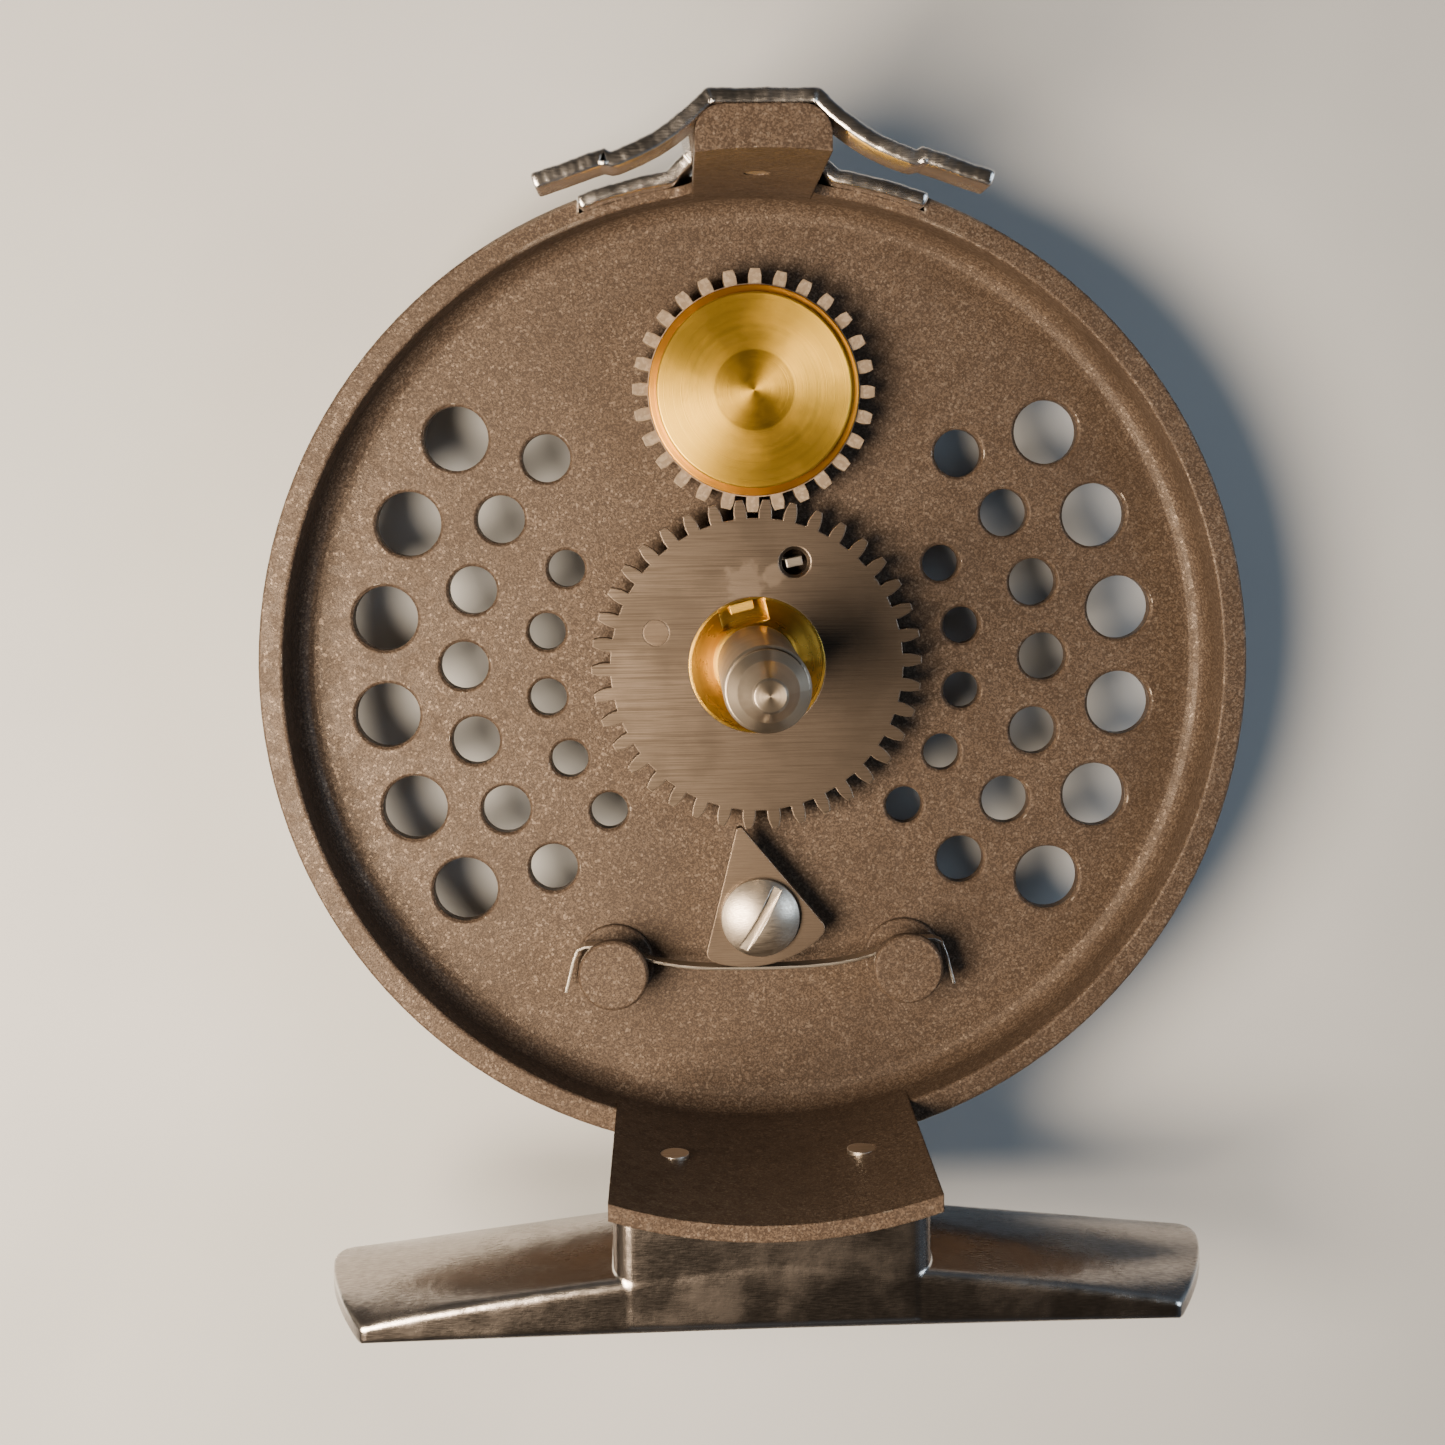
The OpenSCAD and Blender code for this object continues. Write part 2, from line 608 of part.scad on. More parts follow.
// Small screw in the stud's end that keeps the knob on
module knob_screw() {
    color([0.66, 0.65, 0.62]) on_floor(knob_h - knob_t) translate([0, centre_dist, 0]) difference() {
        union() {
            translate([0, 0, knob_web - face_gap - 0.6]) cylinder(r = 2.4, h = 0.6);
            translate([0, 0, knob_web - face_gap - 0.6]) cylinder(r = knob_screw_r, h = 3);
        }
        rotate(-35) translate([-3, -0.25, -cut]) cube([6, 0.5, cut + knob_web - 0.35]);
    }
}

// Three-cornered click pawl with a round sole for the spring
function pawl_points() = let (reach = asin((pawl_half - 0.15) / pawl_sole_r)) concat(
    [[0.24, pawl_len], [-0.24, pawl_len]],
    arc([-pawl_half, -pawl_drop], pawl_corner, 155, 235, 4),
    arc([0, pawl_sole_r - pawl_sole], pawl_sole_r, -90 - reach, -90 + reach, 10),
    arc([pawl_half, -pawl_drop], pawl_corner, -55, 25, 4));
module click_pawl() {
    color([0.58, 0.54, 0.48]) on_floor(pawl_h) translate([0, -pawl_dist, 0]) rotate(pawl_lean) difference() {
        linear_extrude(pawl_t) polygon(pawl_points());
        translate([0, 0, -cut]) cylinder(r = pawl_bore_r + run_gap, h = pawl_t + 2 * cut);
    }
}

// Shouldered screw with a domed, slotted head
module pawl_screw() {
    head_t = 1.7;
    under = pawl_h + pawl_t + face_gap;
    dome_r = (pow(pawl_head_r, 2) + pow(head_t - 0.5, 2)) / (2 * (head_t - 0.5));
    color([0.72, 0.7, 0.66]) on_floor() translate([0, -pawl_dist, 0]) difference() {
        union() {
            translate([0, 0, 0.2]) cylinder(r = 1.3, h = under);
            translate([0, 0, pawl_h - face_gap]) cylinder(r = pawl_bore_r, h = pawl_t + 2 * face_gap);
            translate([0, 0, under]) intersection() {
                cylinder(r = pawl_head_r, h = head_t);
                translate([0, 0, head_t - dome_r]) sphere(r = dome_r, $fn = 96);
            }
        }
        translate([0, 0, under + 0.75]) rotate(60) translate([-5, -0.42, 0]) cube([10, 0.84, 5]);
    }
}

// Leaf spring: a shallow bow between the posts, its ends turned down
function leaf_y(x) = leaf_mid_y + leaf_bow * x * x + leaf_rise * pow(x, 4);
module click_spring() {
    top_y = -post_y + post_neck_r + leaf_t / 2 + 0.25;
    half = concat([for (x = [0:1.5:12]) [x, min(leaf_y(x), top_y)]],
        [[post_x, top_y], [post_x + 2.6, top_y - 0.05], [post_x + 3.3, top_y - 0.35],
         [post_x + 3.7, top_y - 1.4], [post_x + 4.4, top_y - 4.2]]);
    path = concat([for (i = [len(half) - 1:-1:1]) [-half[i][0], half[i][1]]], half);
    color([0.7, 0.66, 0.6]) on_floor(leaf_h) linear_extrude(leaf_w) polygon(ribbon(path, leaf_t));
}

// Mushroom posts that hold the leaf spring
module spring_posts() {
    color([0.4, 0.33, 0.27]) on_floor() both_sides() translate([post_x, -post_y, 0])
        rotate_extrude() polygon([[0, -plate_t + 0.6], [1.2, -plate_t + 0.6], [1.2, 0], [post_collar_r - 0.1, 0],
            [post_collar_r, 0.1], [post_collar_r, post_collar_h - 0.15], [post_collar_r - 0.15, post_collar_h],
            [post_neck_r, post_collar_h], [post_neck_r, post_head_h], [post_head_r, post_head_h],
            [post_head_r, post_head_h + post_head_t - 0.25],
            [post_head_r - 0.25, post_head_h + post_head_t], [0, post_head_h + post_head_t]]);
}

// Outer edge of one front arm: flat top, a 45 degree bend, then a hollow sweep
guard_bend_end = [guard_top_x + guard_bend, guard_top_y - guard_bend];
sweep_c = guard_bend_end + guard_sweep_r * [sin(45), cos(45)];
front_edge = concat([[0, guard_top_y], [guard_top_x, guard_top_y]],
    arc(sweep_c, guard_sweep_r, -135, -90 - guard_arm_angle, 8));
sweep_end = front_edge[len(front_edge) - 1];
arm_way = [cos(guard_arm_angle), -sin(guard_arm_angle)];
arm_out = [sin(guard_arm_angle), cos(guard_arm_angle)];
tip_edge = [for (d = [-0.1, (guard_front_x - sweep_end[0]) / cos(guard_arm_angle)])
    sweep_end + d * arm_way + guard_step * arm_out];

// Outer edge of one rear arm: the same top, then down the bend to the rim
rear_drop = guard_bend_end[0] + guard_bend_end[1];
rear_foot_a = 45 + acos(rear_drop / sqrt(2) / guard_out_r);
rear_edge = concat([[0, guard_top_y], [guard_top_x, guard_top_y]],
    arc([0, 0], guard_out_r, rear_foot_a, acos(guard_rear_x / guard_out_r), 6));

// Closed outline of a strip that hangs below an edge
function strip(edge, t) = concat(edge,
    [for (i = [len(edge) - 1:-1:0]) edge[i] - t * side(edge, i)]);

// Pressed strip over the top pillar, with two front arms and two rear arms
module line_guard() {
    front_h = pillar_h - guard_front_d;
    color([0.8, 0.8, 0.8]) on_floor() difference() {
        union() {
            both_sides() translate([0, 0, front_h]) linear_extrude(guard_front_d) polygon(strip(front_edge, guard_t));
            both_sides() translate([0, 0, front_h]) linear_extrude(guard_front_d) polygon(strip(tip_edge, guard_t));
            both_sides() translate([0, 0, guard_rear_h]) linear_extrude(front_h - guard_rear_h + 0.01) intersection() {
                polygon(strip(front_edge, guard_t));
                translate([-1, 0]) square([guard_saddle_x + 1, rim_r + 5]);
            }
            both_sides() translate([0, 0, guard_rear_h]) linear_extrude(guard_rear_top - guard_rear_h)
                polygon(strip(rear_edge, guard_t));
        }
        translate([0, guard_base_y - 1, guard_screw_h]) rotate([-90, 0, 0]) cylinder(r = guard_screw_r, h = 4);
    }
}

// Screw through the guard into the top pillar
module guard_screw() {
    head_r = 2;
    tip_y = sqrt(pow(wall_r, 2) - 2) + 0.15;
    color([0.68, 0.67, 0.64]) on_floor(guard_screw_h) difference() {
        union() {
            translate([0, tip_y, 0]) rotate([-90, 0, 0]) cylinder(r = guard_screw_r, h = guard_top_y - tip_y);
            translate([0, guard_top_y, 0]) rotate([-90, 0, 0]) cylinder(r1 = head_r, r2 = head_r - 0.4, h = 1);
        }
        translate([-3, guard_top_y + 0.45, -0.25]) cube([6, 2, 0.5]);
    }
}

// Radius of an arch that rises by sag over the foot's width
function crown_radius(sag) = (pow(foot_w / 2, 2) + pow(sag, 2)) / (2 * sag);

// Foot: a stem under the pillar and two wings hollowed for the rod
module wing_crown() {
    span = foot_front_x - stem_x;
    root_r = crown_radius(foot_root_sag);
    tip_r = crown_radius(foot_tip_sag);
    root_y = foot_low_y + foot_root_t + foot_root_sag;
    tip_y = foot_low_y + foot_tip_t + foot_tip_sag;
    point_x = stem_x + span * root_r / (root_r - tip_r);
    point_y = root_y + (tip_y - root_y) * (point_x - stem_x) / span;
    upper = atan2(root_y - point_y, point_x - stem_x);
    lower = atan2(root_y - 2 * root_r - point_y, point_x - stem_x);
    lean = (upper + lower) / 2;
    long = point_x / cos(lean) + 2 * root_r;
    translate([point_x, point_y, foot_mid_h]) rotate([0, 0, -lean]) rotate([0, -90, 0])
        cylinder(r1 = 0, r2 = long * tan((upper - lower) / 2), h = long, $fn = 96);
}
module foot_wing() {
    h = 30;
    intersection() {
        translate([0, foot_low_y + h, 0]) rotate([90, 0, 0]) linear_extrude(h) intersection() {
            translate([-cut, foot_back_h]) square([foot_x + 2, foot_w]);
            translate([foot_x - foot_end_r, foot_mid_h]) circle(r = foot_end_r, $fn = 96);
        }
        wing_crown();
    }
    intersection() {
        translate([-cut, foot_low_y, foot_back_h]) cube([foot_x - foot_end_r + 0.5, h, foot_w]);
        wing_crown();
    }
}
module rounded(half_x, half_y, r) polygon([for (q = [0:3]) each arc(
    [(q == 0 || q == 3 ? 1 : -1) * (half_x - r), (q < 2 ? 1 : -1) * (half_y - r)], r, 90 * q, 90 * q + 90, 6)]);
module foot() {
    stem_top = -sqrt(pow(pillar_out_r, 2) - pow(stem_x, 2)) + 1;
    stem_foot = foot_low_y + 2;
    land = 0.35;
    color([0.7, 0.7, 0.7]) on_floor() difference() {
        union() {
            both_sides() foot_wing();
            translate([0, stem_top, foot_mid_h]) rotate([90, 0, 0]) linear_extrude(stem_top - stem_foot)
                rounded(stem_x, foot_w / 2, stem_corner);
        }
        // Saddle against the pillar
        translate([0, 0, -cut]) cylinder(r = pillar_out_r, h = pillar_h + 2, $fn = 128);
        // Rod seat
        translate([-2 * foot_x, foot_low_y - sqrt(pow(rod_seat_r, 2) - pow(foot_w / 2 - land, 2)), foot_mid_h])
            rotate([0, 90, 0]) cylinder(r = rod_seat_r, h = 4 * foot_x, $fn = 96);
        both_sides() translate([foot_screw_x, -pillar_out_r + 4, foot_mid_h]) rotate([90, 0, 0])
            cylinder(r = foot_screw_r, h = 20);
    }
}

// Screws from the rod seat up into the pillar
module foot_screws() {
    seat_y = foot_low_y + rod_seat_r - sqrt(pow(rod_seat_r, 2) - pow(foot_w / 2, 2));
    end_y = -sqrt(pow(wall_r, 2) - pow(foot_screw_x + foot_screw_r, 2)) - 0.15;
    color([0.6, 0.58, 0.54]) on_floor(foot_mid_h) both_sides() translate([foot_screw_x, seat_y + 0.35, 0])
        rotate([-90, 0, 0]) cylinder(r = foot_screw_r, h = end_y - seat_y - 0.35);
}

frame();
spindle();
spindle_screw();
click_wheel();
wheel_hub();
clutch_pawl();
clutch_pin();
clutch_spring();
drag_wheel();
drag_disc();
bronze_washer();
friction_washer();
drag_stud();
cup_springs();
drag_knob();
knob_insert();
knob_screw();
click_pawl();
pawl_screw();
click_spring();
spring_posts();
line_guard();
guard_screw();
foot();
foot_screws();
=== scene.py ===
import math

import bpy
import numpy as np
from mathutils import Matrix, Vector


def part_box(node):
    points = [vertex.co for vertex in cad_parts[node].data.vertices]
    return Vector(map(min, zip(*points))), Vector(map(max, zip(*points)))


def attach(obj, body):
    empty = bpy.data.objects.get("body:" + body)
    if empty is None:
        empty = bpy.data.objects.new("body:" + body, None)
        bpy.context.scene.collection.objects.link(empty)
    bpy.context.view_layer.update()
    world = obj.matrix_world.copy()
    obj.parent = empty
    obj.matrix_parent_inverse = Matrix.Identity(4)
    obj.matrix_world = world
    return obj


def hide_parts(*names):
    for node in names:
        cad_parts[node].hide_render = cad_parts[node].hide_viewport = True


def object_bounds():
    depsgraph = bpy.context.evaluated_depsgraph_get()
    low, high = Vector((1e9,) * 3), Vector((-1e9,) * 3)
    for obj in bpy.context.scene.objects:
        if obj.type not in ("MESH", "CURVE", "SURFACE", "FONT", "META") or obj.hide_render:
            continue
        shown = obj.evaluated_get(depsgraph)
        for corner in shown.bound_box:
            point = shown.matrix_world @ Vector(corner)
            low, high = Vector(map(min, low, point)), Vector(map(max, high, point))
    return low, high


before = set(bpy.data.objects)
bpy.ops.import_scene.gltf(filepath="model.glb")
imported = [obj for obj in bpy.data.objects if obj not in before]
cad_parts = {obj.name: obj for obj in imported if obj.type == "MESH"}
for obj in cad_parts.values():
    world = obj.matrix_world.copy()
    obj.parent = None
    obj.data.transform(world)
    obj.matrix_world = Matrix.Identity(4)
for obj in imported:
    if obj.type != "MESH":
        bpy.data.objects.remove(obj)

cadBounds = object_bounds()
mm = 0.001


def addNode(tree, kind, values=None, **settings):
    made = tree.nodes.new(kind)
    for key, value in settings.items():
        setattr(made, key, value)
    for key, value in (values or {}).items():
        if isinstance(value, bpy.types.NodeSocket):
            tree.links.new(value, made.inputs[key])
        else:
            made.inputs[key].default_value = value
    return made


def calc(tree, operation, *terms):
    made = addNode(tree, "ShaderNodeMath", dict(enumerate(terms)), operation=operation)
    return made.outputs[0]


def blendColour(tree, amount, low, high):
    made = tree.nodes.new("ShaderNodeMix")
    made.data_type = "RGBA"
    for index, value in ((0, amount), (6, low), (7, high)):
        if isinstance(value, bpy.types.NodeSocket):
            tree.links.new(value, made.inputs[index])
        else:
            made.inputs[index].default_value = value if index == 0 else (*value, 1)
    return made.outputs[2]


def blendValue(tree, amount, low, high):
    made = addNode(tree, "ShaderNodeMapRange", {"Value": amount, "To Min": low, "To Max": high})
    return made.outputs[0]


def ramp(tree, value, low, high):
    made = addNode(tree, "ShaderNodeMapRange", {"Value": value, "From Min": low, "From Max": high},
                   interpolation_type="SMOOTHSTEP")
    return made.outputs[0]


def newGroup(name, inputs, outputs):
    tree = bpy.data.node_groups.new(name, "ShaderNodeTree")
    for socket, value in inputs.items():
        made = tree.interface.new_socket(name=socket, in_out="INPUT", socket_type="NodeSocketFloat")
        made.default_value = value
    for socket in outputs:
        kind = "NodeSocketVector" if socket == "Normal" else "NodeSocketFloat"
        tree.interface.new_socket(name=socket, in_out="OUTPUT", socket_type=kind)
    return tree, tree.nodes.new("NodeGroupInput").outputs, tree.nodes.new("NodeGroupOutput").inputs


def useGroup(tree, group, **values):
    made = tree.nodes.new("ShaderNodeGroup")
    made.node_tree = group
    for key, value in values.items():
        made.inputs[key].default_value = value
    return made.outputs


def objectPlace(tree):
    return tree.nodes.new("ShaderNodeTexCoord").outputs["Object"]


def makeNoise(tree, place, scale, detail):
    values = {"Vector": place, "Scale": scale, "Detail": detail}
    return addNode(tree, "ShaderNodeTexNoise", values).outputs[0]


def makeFleck():
    # fine grains: small cells with a random brightness each, softened by noise
    tree, given, put = newGroup("fleck", {"Grain": 0.3 * mm}, ["Mask", "Height", "Glint"])
    scale = calc(tree, "DIVIDE", 1.0, given["Grain"])
    cells = addNode(tree, "ShaderNodeTexVoronoi", {"Vector": objectPlace(tree), "Scale": scale})
    grey = addNode(tree, "ShaderNodeSeparateColor", {"Color": cells.outputs["Color"]}).outputs[0]
    noise = makeNoise(tree, objectPlace(tree), scale, 3.0)
    mixed = calc(tree, "MULTIPLY", grey, noise)
    tree.links.new(ramp(tree, mixed, 0.1, 0.5), put["Mask"])
    tree.links.new(ramp(tree, grey, 0.86, 0.98), put["Glint"])
    tree.links.new(noise, put["Height"])
    return tree


def makeEdgeWear():
    # the angle between the true normal and one rounded over a small radius is large only at edges
    sizes = {"Width": 0.3 * mm, "Patch": 2 * mm, "Amount": 0.5}
    tree, given, put = newGroup("edgeWear", sizes, ["Mask", "Normal"])
    rounded = addNode(tree, "ShaderNodeBevel", {"Radius": given["Width"]}, samples=4)
    flat = tree.nodes.new("ShaderNodeNewGeometry").outputs["Normal"]
    both = {0: rounded.outputs[0], 1: flat}
    cosine = addNode(tree, "ShaderNodeVectorMath", both, operation="DOT_PRODUCT")
    bend = ramp(tree, calc(tree, "SUBTRACT", 1.0, cosine.outputs["Value"]), 0.01, 0.16)
    scale = calc(tree, "DIVIDE", 1.0, given["Patch"])
    noise = makeNoise(tree, objectPlace(tree), scale, 5.0)
    kept = calc(tree, "GREATER_THAN", calc(tree, "ADD", noise, given["Amount"]), 1.0)
    tree.links.new(calc(tree, "MULTIPLY", bend, kept), put["Mask"])
    tree.links.new(rounded.outputs[0], put["Normal"])
    return tree


def makeTurned():
    # rings about an axis along Z: one-dimensional noise of the distance from the axis
    sizes = {"Centre Y": 0.0, "Pitch": 0.1 * mm}
    tree, given, put = newGroup("turned", sizes, ["Mask", "Height", "Radius"])
    axes = addNode(tree, "ShaderNodeSeparateXYZ", {"Vector": objectPlace(tree)}).outputs
    across = calc(tree, "SUBTRACT", axes["Y"], given["Centre Y"])
    squares = calc(tree, "ADD", calc(tree, "POWER", axes["X"], 2.0), calc(tree, "POWER", across, 2.0))
    radius = calc(tree, "SQRT", squares)
    steps = calc(tree, "DIVIDE", radius, given["Pitch"])
    for socket, scale in (("Mask", 0.12), ("Height", 1.0)):
        values = {"W": steps, "Scale": scale, "Detail": 2.0}
        noise = addNode(tree, "ShaderNodeTexNoise", values, noise_dimensions="1D")
        tree.links.new(noise.outputs[0], put[socket])
    tree.links.new(radius, put["Radius"])
    return tree


def makeBrushed():
    # straight marks: noise squeezed across the marks and stretched along X
    tree, given, put = newGroup("brushed", {"Long": 6 * mm, "Fine": 0.09 * mm}, ["Mask", "Height"])
    axes = addNode(tree, "ShaderNodeSeparateXYZ", {"Vector": objectPlace(tree)}).outputs
    squeezed = addNode(tree, "ShaderNodeCombineXYZ", {
        "X": calc(tree, "DIVIDE", axes["X"], given["Long"]),
        "Y": calc(tree, "DIVIDE", axes["Y"], given["Fine"]),
        "Z": calc(tree, "DIVIDE", axes["Z"], given["Fine"])})
    noise = makeNoise(tree, squeezed.outputs[0], 1.0, 4.0)
    tree.links.new(ramp(tree, noise, 0.3, 0.7), put["Mask"])
    tree.links.new(noise, put["Height"])
    return tree


def makePatches():
    # soft uneven patches, such as tarnish and grime
    tree, given, put = newGroup("patches", {"Patch": 6 * mm, "Low": 0.4, "High": 0.65}, ["Mask"])
    scale = calc(tree, "DIVIDE", 1.0, given["Patch"])
    noise = makeNoise(tree, objectPlace(tree), scale, 6.0)
    tree.links.new(ramp(tree, noise, given["Low"], given["High"]), put["Mask"])
    return tree


def makeSpot():
    # a blob round one place: 1 at its middle, 0 beyond its size, with a ragged outline from noise
    sizes = {"X": 0.0, "Y": 0.0, "Size": 2 * mm, "Grain": 0.8 * mm}
    tree, given, put = newGroup("spot", sizes, ["Mask"])
    axes = addNode(tree, "ShaderNodeSeparateXYZ", {"Vector": objectPlace(tree)}).outputs
    across = calc(tree, "POWER", calc(tree, "SUBTRACT", axes["X"], given["X"]), 2.0)
    along = calc(tree, "POWER", calc(tree, "SUBTRACT", axes["Y"], given["Y"]), 2.0)
    reach = calc(tree, "DIVIDE", calc(tree, "SQRT", calc(tree, "ADD", across, along)), given["Size"])
    noise = makeNoise(tree, objectPlace(tree), calc(tree, "DIVIDE", 1.0, given["Grain"]), 4.0)
    uneven = calc(tree, "MULTIPLY", calc(tree, "SUBTRACT", noise, 0.5), 1.6)
    ragged = calc(tree, "ADD", reach, uneven)
    tree.links.new(ramp(tree, calc(tree, "SUBTRACT", 1.0, ragged), 0.0, 0.35), put["Mask"])
    return tree


fleck = makeFleck()
spot = makeSpot()
edgeWear = makeEdgeWear()
turned = makeTurned()
brushed = makeBrushed()
patches = makePatches()
print("stage: shared effects")


def newMaterial(name):
    made = bpy.data.materials.new(name)
    made.use_nodes = True
    tree = made.node_tree
    return made, tree, tree.nodes["Principled BSDF"]


def wire(tree, shader, **sockets):
    for key, value in sockets.items():
        tree.links.new(value, shader.inputs[key.replace("_", " ")])


def bump(tree, height, depth, strength=1.0, normal=None):
    values = {"Height": height, "Distance": depth, "Strength": strength}
    if normal is not None:
        values["Normal"] = normal
    return addNode(tree, "ShaderNodeBump", values).outputs[0]


def scaled(colour, factor):
    return tuple(min(1, factor * part) for part in colour)


def overlay(tree, mask, share, low, high):
    # lays the second colour over the first where the mask says, at a given strength
    return blendColour(tree, calc(tree, "MULTIPLY", mask, share), low, high)


def stainedRoughness(tree, marks, low, high, stain, added):
    # runs between two roughnesses with the marks, and adds a little where stained
    return calc(tree, "ADD", blendValue(tree, marks, low, high), calc(tree, "MULTIPLY", stain, added))


def makeWear(tree, plan):
    return useGroup(tree, edgeWear, Width=plan["wearWidth"], Patch=plan["wearPatch"],
                    Amount=plan["wearAmount"])


paint = {"dark": (0.040, 0.028, 0.021), "mid": (0.068, 0.050, 0.038), "light": (0.155, 0.115, 0.085),
         "glint": (0.46, 0.38, 0.31), "metal": (0.55, 0.50, 0.44), "grain": 0.13 * mm,
         "coarseGrain": 1.1 * mm, "glintGrain": 0.2 * mm, "grimePatch": 9 * mm, "midShare": 0.45,
         "glintShare": 0.22, "grimeShare": 0.35, "coatMetal": 0.1, "glintMetal": 0.4,
         "wearWidth": 0.22 * mm, "wearPatch": 1.4 * mm, "wearAmount": 0.36,
         "chipWidth": 0.5 * mm, "chipPatch": 0.5 * mm, "chipAmount": 0.62,
         "smooth": 0.36, "rough": 0.50, "depth": 0.03 * mm, "relief": 0.9, "specular": 0.2,
         "chips": [(-18.5, 40.6, 5), (18.5, 40.6, 3.5), (-21.5, 39, 2.5)]}


def makePaint():
    made, tree, shader = newMaterial("gunmetalPaint")
    grains = useGroup(tree, fleck, Grain=paint["grain"])
    coarse = useGroup(tree, fleck, Grain=paint["coarseGrain"])
    glint = useGroup(tree, fleck, Grain=paint["glintGrain"])["Glint"]
    grime = useGroup(tree, patches, Patch=paint["grimePatch"], Low=0.35, High=0.75)
    wear = makeWear(tree, paint)
    edge = useGroup(tree, edgeWear, Width=paint["chipWidth"], Patch=paint["chipPatch"],
                    Amount=paint["chipAmount"])["Mask"]
    colour = blendColour(tree, grains["Mask"], paint["dark"], paint["light"])
    colour = blendColour(tree, paint["midShare"], colour, paint["mid"])
    colour = overlay(tree, glint, paint["glintShare"], colour, paint["glint"])
    colour = overlay(tree, grime["Mask"], paint["grimeShare"], colour, paint["dark"])
    bare = wear["Mask"]
    for x, y, size in paint["chips"]:
        blob = useGroup(tree, spot, X=x * mm, Y=y * mm, Size=size * mm)["Mask"]
        bare = calc(tree, "MAXIMUM", bare, calc(tree, "MULTIPLY", blob, edge))
    colour = blendColour(tree, bare, colour, paint["metal"])
    rough = blendValue(tree, coarse["Mask"], paint["smooth"], paint["rough"])
    metal = calc(tree, "MAXIMUM", blendValue(tree, bare, paint["coatMetal"], 1.0),
                 calc(tree, "MULTIPLY", glint, paint["glintMetal"]))
    normal = bump(tree, grains["Height"], paint["depth"], paint["relief"], wear["Normal"])
    wire(tree, shader, Base_Color=colour, Roughness=rough, Metallic=metal, Normal=normal)
    shader.inputs["Specular IOR Level"].default_value = paint["specular"]
    return made


steel = {"stainPatch": 7 * mm, "stainShare": 0.6, "stainDark": 0.6, "stainRough": 0.08,
         "wearWidth": 0.16 * mm, "wearPatch": 0.8 * mm, "wearAmount": 0.72, "wearBright": 2.6,
         "scuffGrain": 1.1 * mm, "scuffShare": 0.4, "scuffBright": 1.3,
         "roughUp": 0.06, "roughDown": 0.05, "depth": 0.012 * mm, "relief": 0.8}


def makeSteel(name, colour, bright, rough, long=6 * mm, fine=0.09 * mm, scuffs=()):
    made, tree, shader = newMaterial(name)
    marks = useGroup(tree, brushed, Long=long, Fine=fine)
    stain = useGroup(tree, patches, Patch=steel["stainPatch"], Low=0.35, High=0.62)["Mask"]
    wear = makeWear(tree, steel)
    base = blendColour(tree, marks["Mask"], colour, bright)
    base = overlay(tree, stain, steel["stainShare"], base, scaled(colour, steel["stainDark"]))
    # lighter edges: partly worn bright steel, partly a painted highlight, as along the gear teeth
    base = blendColour(tree, wear["Mask"], base, scaled(bright, steel["wearBright"]))
    for x, y, size in scuffs:
        blob = useGroup(tree, spot, X=x * mm, Y=y * mm, Size=size * mm, Grain=steel["scuffGrain"])
        base = overlay(tree, blob["Mask"], steel["scuffShare"], base,
                       scaled(bright, steel["scuffBright"]))
    roughness = stainedRoughness(tree, marks["Mask"], rough + steel["roughUp"],
                                 rough - steel["roughDown"], stain, steel["stainRough"])
    normal = bump(tree, marks["Height"], steel["depth"], steel["relief"], wear["Normal"])
    wire(tree, shader, Base_Color=base, Roughness=roughness, Normal=normal)
    shader.inputs["Metallic"].default_value = 1.0
    return made


turning = {"stainPatch": 4 * mm, "stainShare": 0.4, "stainRough": 0.08, "wearWidth": 0.12 * mm,
           "wearPatch": 0.8 * mm, "wearAmount": 0.7, "wearShare": 0.5, "wearBright": 1.2,
           "roughUp": 0.06, "roughDown": 0.04, "innerEdge": 0.08 * mm, "innerShare": 0.45,
           "innerSmooth": 0.06, "depth": 0.01 * mm, "relief": 0.8, "stretch": 0.6, "turn": 0.25}


def makeTurnedMetal(name, colour, deep, rough, centreY, pitch=0.09 * mm, inner=0.0):
    # inner is the radius of a darker, smoother middle; 0 leaves it out
    made, tree, shader = newMaterial(name)
    rings = useGroup(tree, turned, **{"Centre Y": centreY, "Pitch": pitch})
    stain = useGroup(tree, patches, Patch=turning["stainPatch"], Low=0.4, High=0.75)["Mask"]
    wear = makeWear(tree, turning)
    base = blendColour(tree, rings["Mask"], deep, colour)
    base = overlay(tree, stain, turning["stainShare"], base, deep)
    base = overlay(tree, wear["Mask"], turning["wearShare"], base,
                   scaled(colour, turning["wearBright"]))
    roughness = stainedRoughness(tree, rings["Mask"], rough + turning["roughUp"],
                                 rough - turning["roughDown"], stain, turning["stainRough"])
    if inner > 0:
        middle = ramp(tree, rings["Radius"], inner + turning["innerEdge"], inner - turning["innerEdge"])
        base = overlay(tree, middle, turning["innerShare"], base, deep)
        smoother = calc(tree, "MULTIPLY", middle, turning["innerSmooth"])
        roughness = calc(tree, "SUBTRACT", roughness, smoother)
    normal = bump(tree, rings["Height"], turning["depth"], turning["relief"], wear["Normal"])
    wire(tree, shader, Base_Color=base, Roughness=roughness, Normal=normal)
    shader.inputs["Metallic"].default_value = 1.0
    shader.inputs["Anisotropic"].default_value = turning["stretch"]
    shader.inputs["Anisotropic Rotation"].default_value = turning["turn"]
    around = addNode(tree, "ShaderNodeTangent", direction_type="RADIAL", axis="Z")
    tree.links.new(around.outputs[0], shader.inputs["Tangent"])
    return made


plating = {"stainPatch": 5 * mm, "stainShare": 0.45, "stainRough": 0.1, "markLong": 0.9 * mm,
           "markShare": 0.6, "markBright": 1.7, "markDepth": 0.006 * mm, "wearWidth": 0.3 * mm,
           "wearPatch": 1.2 * mm, "wearAmount": 0.75, "rubbedAndHighlightLeast": 0.6, "roughUp": 0.05,
           "roughDown": 0.02, "relief": 0.7, "bare": (0.95, 0.94, 0.92)}


